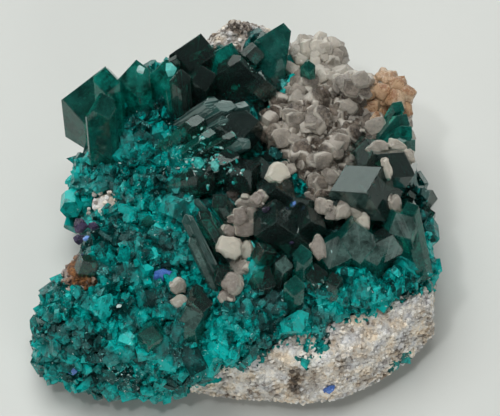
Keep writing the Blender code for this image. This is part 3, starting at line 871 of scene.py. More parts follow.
class Prisms:
    """The large dioptase prisms."""

    ROCK_TOP = 15.0
    ROOT_DEPTH = 1.5
    LONGEST = 12.0
    FINISHES = (DARK_DIOPTASE, DEEP_DIOPTASE, EMERALD_DIOPTASE, STREAKED_DIOPTASE, SHEEN_DIOPTASE)
    LISTED = (
        # Upper left.
        Prism((-19.2, 21.1), 9.5, 45, 94, -15, (3.7, 1.8, 1.4, 2.2, 5.9, 5.6), Habit.DEEP),
        Prism((-18.9, 17.3), 11.0, 50, 93, 20, (2.0, 1.3, 1.5, 1.5, 3.1, 2.2), Habit.DEEP),
        Prism((-18.8, 21.3), 10.5, 60, 94, -12, (2.4, 2.4, 1.6, 1.6, 1.6, 2.0), Habit.EMERALD),
        Prism((-14.3, 22.5), 8.5, 60, 98, -5, (3.2, 1.8, 1.8, 2.2, 3.0, 3.2), Habit.EMERALD),
        Prism((-9.9, 22.6), 8.0, 62, 98, -12, (2.6, 1.6, 1.6, 2.2, 3.0, 2.6), Habit.EMERALD),
        Prism((-8.4, 22.6), 8.6, 30, 60, 20, (0.9,) * 6),
        # Top.
        Prism((-4.8, 26.5), 7.5, 56, 82, 0, (2.8, 2.6, 2.4, 2.6, 4.2, 3.6)),
        Prism((-0.2, 25.2), 6.5, 60, 75, 0, (2.4, 1.6, 2.0, 2.4, 2.6, 2.4), Habit.EMERALD),
        Prism((-7.7, 21.1), 8.6, 60, 95, 0, (1.6, 1.3, 1.4, 1.4, 1.8, 1.8), steps=1),
        Prism((1.0, 22.3), 8.5, 18, 83, 0, (4.2, 2.9, 1.0, 2.0, 3.2, 4.2)),
        Prism((7.5, 28.2), 6.5, 75, 82, 0, (3.4, 1.3, 2.0, 3.0, 4.2, 3.6), Habit.DEEP),
        Prism((3.4, 24.6), 7.0, 40, 70, 30, (1.6, 1.4, 1.4, 1.6, 1.8, 1.6)),
        Prism((-4.6, 21.6), 8.0, 45, 90, 20, (2.0, 1.8, 1.6, 1.6, 2.0, 2.2)),
        Prism((4.8, 19.4), 7.0, 25, 60, 40, (2.0, 1.8, 1.8, 2.0, 2.2, 2.0)),
        # The fan, a bundle of blades that lean to the right, and the blades beside the middle.
        Prism((3.8, 13.4), 8.5, 50, 28, 85, (3.0, 2.0, 2.0, 3.2, 3.2, 3.0)),
        Prism((2.4, 15.6), 8.2, 56, 30, 48, (1.0, 0.8, 1.0, 1.2, 1.2, 1.0), Habit.STREAKED),
        Prism((0.6, 15.4), 8.0, 52, 28, 60, (1.2, 1.0, 1.2, 2.0, 1.8, 1.2), Habit.STREAKED),
        Prism((-1.6, 16.2), 7.4, 55, 32, 88, (1.0, 0.9, 1.2, 1.6, 1.4, 1.2), Habit.STREAKED),
        Prism((-0.6, 13.6), 8.0, 50, 30, 95, (0.7, 0.6, 0.8, 0.9, 1.0, 0.8), Habit.STREAKED),
        Prism((0.6, 11.2), 8.8, 50, 30, 60, (0.8, 1.0, 1.2, 1.0, 1.4, 1.0)),
        Prism((2.6, 10.2), 8.6, 50, 26, 32, (0.8, 0.7, 0.8, 1.2, 1.4, 1.0), Habit.STREAKED),
        Prism((1.2, 8.0), 7.5, 50, 26, 60, (2.2, 1.6, 1.6, 2.0, 2.4, 2.2)),
        Prism((-2.4, 11.6), 7.2, 58, 34, 60, (0.9, 0.8, 1.0, 1.2, 1.4, 1.1), Habit.DEEP),
        Prism((-4.0, 13.6), 6.8, 60, 38, 60, (1.2, 1.0, 1.4, 1.6, 1.8, 1.4)),
        Prism((-2.6, 5.2), 6.0, 55, 20, 40, (2.0, 1.6, 1.8, 2.0, 2.2, 2.0)),
        Prism((-6.9, -0.3), 8.4, 74, 117, 0, (1.0, 0.95, 0.9, 0.9, 0.95, 1.0), Habit.STREAKED),
        Prism((-5.6, 1.9), 8.2, 74, 132, 20, (0.45,) * 6, Habit.STREAKED),
        Prism((-4.9, 0.2), 8.2, 72, 122, 40, (1.3, 1.1, 1.1, 1.1, 1.2, 1.3)),
        Prism((-2.8, 2.6), 7.6, 70, 125, 10, (1.5, 1.3, 1.2, 1.2, 1.4, 1.5)),
        Prism((-6.2, -3.6), 7.2, 74, 115, 30, (0.7,) * 6, Habit.SHEENED),
        Prism((-2.0, -8.0), 5.5, 40, 120, 0, (1.8, 1.6, 1.6, 1.6, 1.6, 1.8)),
        Prism((-5.3, -10.3), 5.0, 65, 95, 30, (1.0, 0.9, 0.9, 0.9, 1.0, 1.0)),
        # Middle.
        Prism((6.2, -1.4), 9.0, 8, 90, 0, (3.2, 3.0, 3.2, 3.3, 3.2, 3.0)),
        Prism((6.3, 3.6), 8.8, 12, 80, 15, (2.7, 2.8, 2.5, 2.6, 2.7, 2.6)),
        Prism((11.3, -1.2), 7.5, 12, 60, 40, (2.6, 2.3, 2.4, 2.6, 2.6, 2.5)),
        Prism((2.8, 6.0), 7.6, 25, 30, 10, (2.5,) * 6),
        Prism((8.8, 2.0), 7.2, 30, 100, 30, (2.6,) * 6),
        Prism((9.4, -3.0), 6.6, 25, 80, 0, (2.6,) * 6),
        Prism((13.6, 1.6), 6.6, 30, 120, 20, (2.2,) * 6),
        # Right.
        Prism((19.3, 2.7), 10.5, 8, 225, -45, (4.0, 3.6, 4.8, 5.4, 4.4, 4.4), sheened=(2,)),
        Prism((22.6, 4.9), 10.0, 10, 240, 0, (3.2, 3.8, 3.6, 4.0, 3.0, 3.3)),
        Prism((20.6, 8.0), 8.0, 10, 320, 30, (2.4,) * 6),
        Prism((23.6, 0.0), 8.2, 42, 110, 10, (2.6, 1.8, 2.2, 2.2, 2.2, 2.4), Habit.DEEP, sheened=(0,)),
        Prism((25.2, 1.6), 7.6, 72, 103, 20, (1.4, 1.3, 1.4, 1.8, 1.4, 1.4), Habit.DEEP),
        Prism((23.1, -3.2), 6.6, 30, 60, 20, (2.6, 2.2, 2.2, 2.2, 2.4, 2.6), sheened=(0,)),
        Prism((17.6, -1.4), 8.0, 42, 95, 5, (3.4, 2.6, 2.6, 2.8, 3.2, 3.4), Habit.DEEP, sheened=(0,)),
        Prism((19.6, -3.2), 6.4, 45, 100, 10, (2.6, 2.4, 2.2, 2.2, 2.4, 2.6), Habit.DEEP, sheened=(0,)),
        # The green edge of the hollow.
        Prism((24.9, 16.4), 5.0, 70, 60, 0, (1.1,) * 6, Habit.DEEP),
        Prism((25.6, 14.5), 5.2, 75, 50, 20, (1.3,) * 6, Habit.DEEP),
        Prism((26.3, 12.6), 5.2, 70, 40, 10, (1.3,) * 6, Habit.EMERALD),
        Prism((26.8, 10.6), 5.4, 75, 30, 40, (1.3,) * 6, Habit.DEEP),
        Prism((11.2, 22.4), 7.0, 45, 90, 10, (1.0, 0.9, 1.2, 1.0, 1.3, 1.1), Habit.DEEP),
        # Below them.
        Prism((7.5, -6.2), 7.0, 52, 80, 8, (1.5, 1.3, 1.5, 1.5, 1.3, 1.5), sheened=(0,)),
        Prism((4.6, -5.6), 6.4, 15, 80, 40, (1.7,) * 6),
        Prism((5.4, -8.2), 5.8, 45, 60, 10, (1.9, 1.7, 1.7, 1.7, 1.9, 1.9)),
        Prism((9.9, -4.6), 7.2, 62, 95, 0, (1.7, 1.4, 1.4, 1.4, 1.4, 1.7), Habit.DEEP),
        Prism((12.0, -7.4), 5.8, 50, 85, 20, (1.8, 1.6, 1.7, 1.7, 1.6, 1.8)),
        Prism((15.2, -3.4), 7.0, 45, 75, 0, (2.8,) * 6, Habit.DEEP, sheened=(0,)),
        Prism((9.0, -9.0), 5.8, 58, 88, 0, (1.7, 1.4, 1.4, 1.4, 1.6, 1.7), Habit.DEEP),
        Prism((14.4, -8.6), 5.0, 55, 95, 15, (1.3,) * 6),
        # Front left.
        Prism((-6.5, -13.5), 4.4, 50, 100, 10, (2.0,) * 6, Habit.DEEP, sheened=(0,)),
        Prism((-11.5, -16.2), 3.4, 35, 80, 0, (1.8,) * 6, Habit.DEEP),
        Prism((-4.2, -11.5), 5.4, 55, 70, 30, (1.6,) * 6, sheened=(1,)),
        Prism((-12.2, -0.4), 4.0, 60, 80, 0, (0.9,) * 6, Habit.DEEP),
        Prism((-21.6, -7.0), 4.2, 25, 120, 0, (1.8, 1.6, 1.6, 1.8, 1.8, 1.6)),
    )

    def __init__(self, rock: Ground) -> None:
        """Prisms that are rooted in this rock."""
        self.rock = rock
        self.form = PrismForm()

    def place(self, prism: Prism) -> tuple[Matrix, float]:
        """Where a prism stands.

        Args:
            prism: The prism.

        Returns:
            The placement of its tip, in millimetres, and its length.
        """
        tip = FACE.at_height(*prism.tip, self.ROCK_TOP + prism.rise)
        heading = Matrix.Rotation(math.radians(prism.heading), 3, "Z")
        lean = heading @ Matrix.Rotation(math.radians(prism.tilt), 3, "Y")
        half_turn = Matrix.Rotation(math.radians(180 + prism.roll), 3, "Z")
        turn = FACE.axes @ lean @ half_turn
        axis = turn.col[2]
        seat = self.rock.tree.ray_cast(tip, -axis, self.LONGEST)[0]
        length = self.LONGEST if seat is None else (tip - seat).length + self.ROOT_DEPTH
        return Matrix.Translation(tip) @ turn.to_4x4(), length

    def model(self, prism: Prism, number: int) -> bpy.types.Object:
        """Models one prism where it stands."""
        place, length = self.place(prism)
        obj = self.form.cut(f"prism_{number}", prism.sides, length)
        for turn in range(prism.steps):
            self.form.step(obj, turn, min(prism.sides))
        self.form.draw_lines(obj, shift=7.0 * number)
        # The end faces painted with a grey-green sheen, a painted reflection.
        sheen_normals = [self.form.end_normal(turn) for turn in prism.sheened]
        for finish in self.FINISHES:
            obj.data.materials.append(finish.material())
        for face in obj.data.polygons:
            sheened = any(face.normal.dot(film) > 0.99 for film in sheen_normals)
            face.material_index = (Habit.SHEENED if sheened else prism.habit).value
        placed = place.copy()
        placed.translation *= MM
        obj.data.transform(placed)
        return obj

    def build(self) -> bpy.types.Object:
        """Models every prism and joins them in one piece."""
        solids = [self.model(prism, number) for number, prism in enumerate(self.LISTED)]
        piece = Bench.join(solids, "dioptase_prisms")
        dress(piece, DARK_DIOPTASE, Slot.DIOPTASE, "dioptase")
        return piece


@dataclass(frozen=True)
class Patch:
    """A round patch of the face and how much it adds to a value there."""

    right: float
    up: float
    radius: float
    change: float = 1.0

    def share(self, place: Vector) -> float:
        """How far a place lies in the patch, from 0 at its edge to 1 in its middle half."""
        away = math.hypot(place.x - self.right, place.y - self.up) / self.radius
        return unit(2 - 2 * away)


def added(patches: tuple[Patch, ...], point: Vector) -> float:
    """The sum of what some patches add at a point."""
    place = FACE.place(point)
    return sum(patch.change * patch.share(place) for patch in patches)


# Where the rock shows through the druse: the rusty corner, two pale spots on the left and the knob.
BARE = (Patch(-21.7, -10.1, 3.4), Patch(-17.7, 0.9, 2.4), Patch(-22.1, 0.1, 1.6), Patch(-2.6, 25.9, 2.6))
# The height that the bare places reach down to.
BARE_FOOT = 7.0
# How far out of the rock the crust's surface is looked for.
CRUST_REACH = 14.0
# Where green crystals stand on the bare rock.
STRAYS = (Patch(12.0, -19.0, 2.8), Patch(10.5, -21.7, 1.2), Patch(23.4, -22.4, 1.1), Patch(25.4, -21.2, 1.1))


def bareness(point: Vector) -> float:
    """How far the rock shows through the druse at a point, from 0 to 1. Low on the sides it never does."""
    return unit(added(BARE, point)) * unit((point.z - BARE_FOOT) / 2)


def inside(point: Vector, margin: float) -> bool:
    """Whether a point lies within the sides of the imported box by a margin."""
    low, high = (Vector(corner) / MM for corner in CAD_BOX)
    return all(low[axis] + margin < point[axis] < high[axis] - margin for axis in (0, 1))


class Druse:
    """The crust of small dioptase crystals over the rock."""

    # How thick the crust is over the rock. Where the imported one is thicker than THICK, a prism stands in it.
    CRUST = 1.9
    THICK = 3.8
    # A stray crystal's cover and the crust's ragged fringe, which reaches so far over the rock.
    STRAY, EDGE, FRINGE = 0.3, 0.2, 1.6
    LOWEST = 2.0
    # How far apart the coarse, fine and dark crystals stand, and their least and largest radius.
    COARSE, FINE, BETWEEN = 1.4, 0.8, 1.9
    COARSE_RADII, FINE_RADII, BETWEEN_RADII = (0.8, 1.75), (0.35, 0.75), (0.9, 2.0)
    BED_VOXEL = 0.7
    BED_SINK = 0.4
    # The bed shows in the gaps between crystals and is painted this much darker: painted shade in the gaps.
    BED_PAINTED_SHADE = 0.15
    SHARDS = 8
    PRISM_SHARE = 0.3
    PRISM_LENGTH = 3.0
    # Where the crust stands higher, in millimetres.
    RAISED = (Patch(-13.0, 15.0, 5.5, 2.2), Patch(-8.0, 17.5, 3.5, 1.2), Patch(-23.5, 6.5, 6.0, 2.0))
    # Where dark prisms crowd between the large ones.
    DARK = (
        Patch(0.5, 14.0, 8.0), Patch(3.0, 21.5, 6.5), Patch(-4.5, 20.0, 4.0), Patch(8.0, 1.0, 9.0),
        Patch(18.0, 0.5, 9.0), Patch(23.0, 3.0, 5.5), Patch(10.5, -5.0, 6.5), Patch(-1.5, -6.0, 4.0),
        Patch(6.5, 9.5, 4.0),
    )
    # Where painted glints, white specks, crowd.
    PAINTED_GLINT_PATCHES = (
        Patch(-7.0, 8.0, 3.4, 0.6), Patch(-3.3, 7.3, 3.2), Patch(-0.2, 5.6, 1.8),
        Patch(-15.0, -22.7, 2.8, 0.5), Patch(-9.5, 17.2, 2.0, 0.3), Patch(-4.5, 11.0, 1.6, 0.7),
    )
    # Where the crystals are brighter or darker.
    PATCHES = (
        Patch(-15.1, -18.8, 2.6, 0.4), Patch(-11.5, -22.9, 2.2, 0.4), Patch(-14.1, -14.6, 1.9, 0.35),
        Patch(-19.4, -14.0, 1.6, 0.35), Patch(-14.6, -1.5, 1.2, 0.35), Patch(-11.8, -10.3, 2.0, 0.35),
        Patch(-3.4, -18.1, 1.9, 0.35), Patch(17.0, -7.0, 2.6, 0.45), Patch(25.6, -7.0, 2.6, 0.45),
        Patch(-11.6, -12.9, 1.3, -0.45), Patch(-11.0, -17.5, 2.2, -0.45), Patch(-7.6, -18.8, 2.0, -0.5),
        Patch(-8.4, -23.4, 1.4, -0.45), Patch(-18.1, -14.9, 2.0, -0.45), Patch(-18.8, -18.7, 2.0, -0.45),
        Patch(-15.1, -22.9, 2.5, -0.45), Patch(-17.9, -25.0, 1.3, -0.45), Patch(-12.1, 18.9, 2.6, -0.4),
        Patch(-1.5, 3.2, 4.2, -0.5), Patch(4.0, -13.0, 5.0, -0.2), Patch(-12.0, 8.5, 5.5, 0.15),
        Patch(-17.0, 15.9, 1.3, 0.45), Patch(-17.4, 14.0, 1.3, -0.6), Patch(8.0, -11.0, 4.5, -0.3),
        Patch(-17.5, -6.0, 3.4, -0.4), Patch(-20.0, -3.5, 2.4, -0.4), Patch(-21.5, -6.6, 2.4, -0.7),
        Patch(-5.5, 8.0, 4.5, 0.3), Patch(-14.5, -5.0, 3.0, -0.25),
    )

    def __init__(self, rock: Ground, dioptase: Ground) -> None:
        """A druse on this rock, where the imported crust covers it."""
        self.rock = rock
        self.crust = dioptase
        self.shapes = [Shape.taken_from(self.shard(seed)) for seed in range(self.SHARDS)]
        self.shapes += self.prisms("small_prism", (0.87,) * 6, (0.5, 0.87, 1.0, 0.5, 0.95, 0.78))

    @classmethod
    def prisms(cls, name: str, *cuts: tuple[float, ...]) -> list[Shape]:
        """Small prisms with sharp edges, one for each list of how far the six sides stand from the axis."""
        form = PrismForm()
        return [Shape.taken_from(form.cut(name, sides, cls.PRISM_LENGTH, bevel=False)) for sides in cuts]

    @staticmethod
    def shard(seed: int) -> bpy.types.Object:
        """Models a broken, blocky grain of about unit radius."""
        chance = np.random.default_rng(seed)
        obj = Bench.primitive(bpy.ops.mesh.primitive_cube_add, "shard", size=1.7 * MM)
        with Bench.editing(obj):
            for _ in range(5):
                normal = Vector(chance.normal(0, 1, 3)).normalized()
                Bench.cut(normal * chance.uniform(0.5, 0.8) * MM, normal)
        return obj

    def tone_at(self, point: Vector) -> float:
        """How bright the druse is round a point, from 0 to 1."""
        clouds = 0.75 * noise.noise(point / 3.4) + 0.4 * noise.noise(point / 1.3)
        return 0.6 + clouds + added(self.PATCHES, point) - 0.5 * min(added(self.DARK, point), 1)

    def cover_at(self, point: Vector, out: Vector) -> float | None:
        """How thick the crust is over a point of the rock, or None where the rock is bare."""
        if point.z < self.LOWEST or bareness(point) > 0.5:
            return None
        if added(STRAYS, point) > 0.5:
            return self.STRAY
        cover = self.crust.reach(point, out, CRUST_REACH)
        if cover is None:
            near = self.crust.tree.find_nearest(point, self.FRINGE)[0]
            return self.EDGE if near is not None and noise.noise(point / 0.9) > 0.12 else None
        return (self.CRUST if cover > self.THICK else cover) + added(self.RAISED, point)

    def bed(self) -> bpy.types.Object:
        """Models the bed that the crystals stand in."""
        obj = Bench.copy_of("matrix", "dioptase_bed")
        Bench.modify(obj, "REMESH", mode="VOXEL", voxel_size=self.BED_VOXEL * MM)
        tones, shine = [], []
        places = [(vertex.co / MM, vertex.normal.copy()) for vertex in obj.data.vertices]
        for vertex, (point, out) in zip(obj.data.vertices, places):
            cover = self.cover_at(point, out)
            lumps = 0.6 * noise.noise(point / 1.1) + 0.5 * noise.noise(point / 0.5)
            rise = -1.0 if cover is None or cover < 1 else cover - self.BED_SINK + lumps
            vertex.co = (point + out * rise) * MM
            vertex.co.z = max(vertex.co.z, 0.1 * MM)
            # Painted shade: the bed is darker than the crystals over it.
            tones.append(unit(self.tone_at(point) - self.BED_PAINTED_SHADE))
            # The rim value here is the share of painted glints.
            shine.append(min(added(self.PAINTED_GLINT_PATCHES, point), 1))
        Bench.note(obj.data, tone=tones, rim=shine)
        dress(obj, DRUSE, Slot.DIOPTASE, "dioptase")
        return obj

    def crystals(self, name: str, spacing: float, radii: tuple[float, float], seed: int) -> bpy.types.Object:
        """Seats crystals of one size all over the crust.

        Args:
            name: The piece's name.
            spacing: About how far apart they stand.
            radii: The least and the largest radius.
            seed: What the chance starts from.

        Returns:
            The piece.
        """
        crowd = Crowd(self.shapes)
        chance = np.random.default_rng(seed)
        for point, out in self.rock.samples(spacing, seed):
            cover = self.cover_at(point, out)
            if cover is None:
                continue
            axis = (out + Vector(chance.normal(0, 0.6, 3))).normalized()
            radius = chance.uniform(*radii) * (0.5 if cover < 1 else 1)
            seat = point + out * (cover - 0.1 * radius)
            if not inside(seat, 0.5 * radius):
                continue
            size = Matrix.Diagonal((radius, radius, radius, 1))
            if chance.random() < self.PRISM_SHARE:
                kind = self.SHARDS + int(chance.integers(2))
                seat += axis * radius * chance.uniform(0.2, 0.6)
            else:
                kind = int(chance.integers(self.SHARDS))
                seat -= out * radius * chance.uniform(0.4, 0.8)
                size = size @ Matrix.Diagonal((chance.uniform(0.8, 1.7), 1, chance.uniform(0.7, 1.1), 1))
            place = Matrix.Translation(seat) @ turned_to(axis, chance.uniform(0, 360)) @ size
            tone = unit(self.tone_at(point) + chance.normal(0, 0.07))
            # The rim value here is the share of painted glints.
            crowd.add(kind, place, tone, min(added(self.PAINTED_GLINT_PATCHES, point), 1))
        piece = crowd.build(name)
        dress(piece, DRUSE, Slot.DIOPTASE, "dioptase")
        return piece

    def between(self) -> bpy.types.Object:
        """Seats the smaller dark prisms that fill the room between the large ones."""
        cuts = ((0.9,) * 6, (0.7, 1.0, 0.8, 1.1, 0.9, 0.8), (1.1, 0.7, 0.9, 0.8, 1.0, 0.7))
        crowd = Crowd(self.prisms("dark_prism", *cuts))
        chance = np.random.default_rng(17)
        for point, out in self.rock.samples(self.BETWEEN, 13):
            cover = self.cover_at(point, out)
            if cover is None or added(self.DARK, point) < 0.6:
                continue
            lean = Vector(chance.normal(0, 0.3, 3))
            axis = (0.6 * out + 0.6 * FACE.toward + 0.3 * FACE.up + lean).normalized()
            radius = chance.uniform(*self.BETWEEN_RADII)
            seat = point + out * cover + axis * radius * chance.uniform(0.4, 1.3)
            turn = turned_to(axis, chance.uniform(0, 360))
            place = Matrix.Translation(seat) @ turn @ Matrix.Scale(radius, 4)
            crowd.add(int(chance.integers(len(cuts))), place, 0.0)
        piece = crowd.build("dioptase_dark_prisms")
        dress(piece, DARK_DIOPTASE, Slot.DIOPTASE, "dioptase")
        return piece

    def build(self) -> list[bpy.types.Object]:
        """Models the bed and its crystals."""
        coarse = self.crystals("dioptase_druse_coarse", self.COARSE, self.COARSE_RADII, seed=3)
        fine = self.crystals("dioptase_druse_fine", self.FINE, self.FINE_RADII, seed=5)
        return [self.bed(), coarse, fine, self.between()]


@dataclass(frozen=True)
class Lens:
    """A calcite crystal by its place on the face, its half width and height, its turn and its tone."""

    right: float
    up: float
    width: float
    height: float
    turn: float
    tone: float


class Calcite:
    """The calcite that fills the hollow: lens-shaped crystals crowded on a lumpy body."""

    SPACING = 1.2
    CLEAR = (Patch(23.6, 5.2, 4.8),)
    STAINED = (Patch(22.8, 17.0, 4.4),)
    # Single crystals that face the viewer.
    FRONT = (
        Lens(11.0, 12.6, 1.2, 1.1, 10, 0.9), Lens(7.2, 11.0, 1.4, 1.7, 20, 0.35),
        Lens(12.6, 14.6, 1.7, 1.5, 0, 0.4), Lens(15.4, 13.4, 1.5, 1.6, 40, 0.3),
        Lens(15.8, 10.2, 1.4, 1.5, 80, 0.25), Lens(8.4, 14.4, 1.3, 1.1, 0, 0.3),
        Lens(21.0, 12.8, 1.7, 1.4, 30, 0.5), Lens(23.8, 11.0, 1.5, 1.3, 120, 0.6),
        Lens(18.0, 8.6, 1.4, 1.2, 0, 0.2), Lens(12.2, 4.6, 1.3, 1.4, 0, 0.3),
        Lens(13.0, 7.4, 1.2, 1.1, 60, 0.2), Lens(10.0, 6.0, 1.4, 1.2, 20, 0.35),
        Lens(10.6, 3.7, 1.2, 1.3, 70, 0.3),
    )
    FRONT_RISE = 0.9
    FRONT_SHAPE = 1
    # The insets that round a lens's two sides: how wide, and how high as a share of its thickness.
    INSETS = ((0.12, 0.5), (0.22, 0.22), (0.26, 0.06))
    THICKNESSES = (0.5, 0.35, 0.7, 0.42)
    # No lens sits where the body is thinner than THINNEST over the rock, or under LOWEST.
    THINNEST = 2.5
    LOWEST = 8.0

    @classmethod
    def lens(cls, corners: int, thickness: float, seed: int) -> bpy.types.Object:
        """Models a lens-shaped crystal of unit radius that lies flat.

        Args:
            corners: How many corners its outline has.
            thickness: Half its thickness, as a share of its radius.
            seed: What its uneven outline starts from.

        Returns:
            The crystal, in metres.
        """
        obj = Bench.primitive(
            bpy.ops.mesh.primitive_cylinder_add, "lens", vertices=corners, radius=MM, depth=thickness * MM
        )
        with Bench.editing(obj):
            for side in (1, -1):
                Bench.select_faces(obj, lambda face: face.normal.z * side > 0.9)
                for width, height in cls.INSETS:
                    bpy.ops.mesh.inset(thickness=width * MM, depth=height * thickness * MM)
            bpy.ops.mesh.select_all(action="SELECT")
            bpy.ops.mesh.normals_make_consistent(inside=False)
        for vertex in obj.data.vertices:
            angle = math.atan2(vertex.co.y, vertex.co.x)
            uneven = noise.noise(Vector((1.6 * math.cos(angle), 1.6 * math.sin(angle), 7.3 * seed)))
            vertex.co.xy *= 1 + 0.35 * uneven
            vertex.co.z += 0.14 * MM * noise.noise(Vector((*(1.7 * vertex.co.xy / MM), 3.1 * seed)))
        return obj

    @classmethod
    def lenses(cls, corners: int = 11) -> list[Shape]:
        """A few lenses of unlike outline."""
        made = []
        for seed, thickness in enumerate(cls.THICKNESSES):
            crystal = cls.lens(corners, thickness, seed)
            made.append(Shape.taken_from(crystal, rim=lambda place: unit(2 - 2 * abs(place.z) / thickness)))
        return made

    @staticmethod
    def light_at(point: Vector) -> float:
        """How pale the calcite is round a point, from 0 to 1: the top of the hollow is the palest."""
        top = unit((FACE.place(point).y - 18.5) / 2)
        return 0.08 + 0.65 * noise.noise(point / 3.2) + 0.85 * top

    def build(self) -> list[bpy.types.Object]:
        """Models the body and seats its lenses."""
        body = Bench.copy_of("calcite_mass", "calcite_body")
        Bench.modify(body, "REMESH", mode="VOXEL", voxel_size=0.45 * MM)
        Bench.modify(body, "SMOOTH", factor=0.5, iterations=3)
        Bench.pick([body])
        bpy.ops.object.shade_smooth()
        Bench.note(body.data, tone=[unit(self.light_at(vertex.co / MM)) for vertex in body.data.vertices])
        dress(body, DEEP_CALCITE, Slot.CALCITE, "calcite_mass")
        shapes = self.lenses()
        grey, stained = Crowd(shapes), Crowd(shapes)
        chance = np.random.default_rng(21)
        surface = Ground([frame["nodes"]["calcite_mass"]])
        rock = Ground([frame["nodes"]["matrix"]])
        for point, out in surface.samples(self.SPACING, 8):
            thin = rock.reach(point - out * self.THINNEST, out, self.THINNEST + 0.1) is not None
            if thin or point.z < self.LOWEST or added(self.CLEAR, point) > 0.5:
                continue
            axis = (out + Vector(chance.normal(0, 0.5, 3)) + FACE.toward * 0.7).normalized()
            radius = chance.uniform(0.6, 1.5)
            seat = Matrix.Translation(point + out * chance.uniform(-0.4, 0.5))
            place = seat @ turned_to(axis, chance.uniform(0, 360)) @ Matrix.Scale(radius, 4)
            light = self.light_at(point) + chance.normal(0, 0.2)
            crowd = stained if added(self.STAINED, point) > 0.5 else grey
            crowd.add(int(chance.integers(len(shapes))), place, unit(light))
        for lens in self.FRONT:
            seat = surface.behind(lens.right, lens.up)[0] + FACE.toward * self.FRONT_RISE
            size = Matrix.Diagonal((lens.width, lens.height, lens.height, 1))
            place = Matrix.Translation(seat) @ turned_to(FACE.toward, lens.turn) @ size
            grey.add(self.FRONT_SHAPE, place, lens.tone)
        pieces = [body]
        for crowd, name, finish in ((grey, "grey", GREY_CALCITE), (stained, "stained", STAINED_CALCITE)):
            piece = crowd.build(f"calcite_lenses_{name}", smooth_angle=math.radians(32))
            dress(piece, finish, Slot.CALCITE, "calcite_mass")
            pieces.append(piece)
        return pieces


class PerchedCalcite:
    """The calcite crystals perched on the dioptase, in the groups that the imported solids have."""

    THICKNESS = 1.1
    OUTLINE = 22
    # How many small crystals stick to the rim of each one in a group, where it is more than one.
    BUDS = {"string": 4, "chain": 2}
    GROUPS = {
        "oval": (Lens(6.5, 5.6, 2.0, 1.4, 30, 1.0), Lens(8.2, 6.3, 1.2, 1.0, 10, 0.6)),
        "string": (
            Lens(0.4, 2.4, 1.0, 0.9, 0, 0.1), Lens(2.1, 1.4, 1.7, 1.3, 20, 0.35),
            Lens(3.7, 1.8, 1.0, 0.9, 0, 0.3), Lens(0.7, -0.7, 1.2, 1.2, 0, 0.2),
            Lens(2.9, -0.6, 1.5, 1.2, 40, 0.4), Lens(1.6, -2.4, 1.6, 1.3, 0, 0.2),
            Lens(-0.7, -2.9, 1.0, 0.9, 0, 0.2), Lens(-0.6, -5.2, 1.7, 1.8, 60, 1.0),
            Lens(1.8, -5.8, 1.3, 1.4, 0, 0.95), Lens(1.0, -8.0, 1.4, 1.5, 0, 0.4),
            Lens(0.2, -10.4, 1.4, 1.4, 0, 0.3), Lens(-0.7, -11.9, 0.9, 0.8, 0, 0.5),
        ),
        "chain": (
            Lens(13.2, 0.9, 1.3, 1.2, 40, 0.4), Lens(14.3, -0.4, 1.0, 0.8, 0, 0.3),
            Lens(15.9, 0.1, 1.4, 1.0, 40, 0.7), Lens(18.0, -0.5, 1.5, 1.3, 140, 0.95),
            Lens(18.9, -1.7, 1.1, 1.2, 0, 0.9),
        ),
        "lone_low": (Lens(12.5, -5.1, 1.2, 1.7, 10, 0.3),),
        "lone_right": (Lens(23.5, 1.2, 1.1, 1.2, 0, 0.5),),
        "lone_front": (Lens(-7.9, -10.6, 1.4, 1.1, 0, 0.5),),
        "lone_front_small": (Lens(-7.5, -12.9, 1.4, 0.9, 0, 0.7),),
        "crescent": (
            Lens(21.2, 9.4, 1.9, 0.9, 15, 0.5), Lens(24.0, 9.6, 1.5, 1.0, 150, 0.7),
            Lens(25.6, 8.2, 1.1, 0.6, 130, 0.6), Lens(22.2, 6.2, 0.6, 1.4, 15, 0.8),
        ),
    }

    def __init__(self, perch: Ground) -> None:
        """Crystals that sit on this surface."""
        self.perch = perch
        self.shapes = Calcite.lenses(self.OUTLINE)

    def build(self) -> None:
        """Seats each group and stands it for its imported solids."""
        chance = np.random.default_rng(41)
        for label, lenses in self.GROUPS.items():
            crowd = Crowd(self.shapes)
            for number, lens in enumerate(lenses):
                point, out = self.perch.behind(lens.right, lens.up)
                axis = (out + 1.5 * FACE.toward).normalized()
                size = Matrix.Diagonal((lens.width, lens.height, self.THICKNESS * lens.height, 1))
                seat = point + axis * 0.25 * lens.height
                turn = turned_to(axis, lens.turn)
                crowd.add(number, Matrix.Translation(seat) @ turn @ size, lens.tone)
                for _ in range(self.BUDS.get(label, 1)):
                    angle = chance.uniform(0, 2 * math.pi)
                    rim = turn @ Vector((lens.width * math.cos(angle), lens.height * math.sin(angle), 0))
                    lean = (axis + Vector(chance.normal(0, 0.5, 3))).normalized()
                    bud = Matrix.Translation(seat + 0.8 * rim) @ turned_to(lean, chance.uniform(0, 360))
                    place = bud @ Matrix.Scale(chance.uniform(0.4, 0.8), 4)
                    kind = int(chance.integers(len(self.shapes)))
                    crowd.add(kind, place, unit(0.5 * lens.tone + chance.normal(0, 0.15)))
            piece = crowd.build(f"perched_{label}", smooth_angle=math.radians(26))
            stem = f"calcite_{label}"
            nodes = [node for node in frame["nodes"] if node.rstrip("_0123456789") == stem]
            dress(piece, CREAM_CALCITE, Slot.CALCITE, *nodes)


@dataclass(frozen=True)
class Facet:
    """A small crystal face that flashes, by its place on the face, its half width and height and its turn."""

    right: float
    up: float
    width: float
    height: float
    turn: float


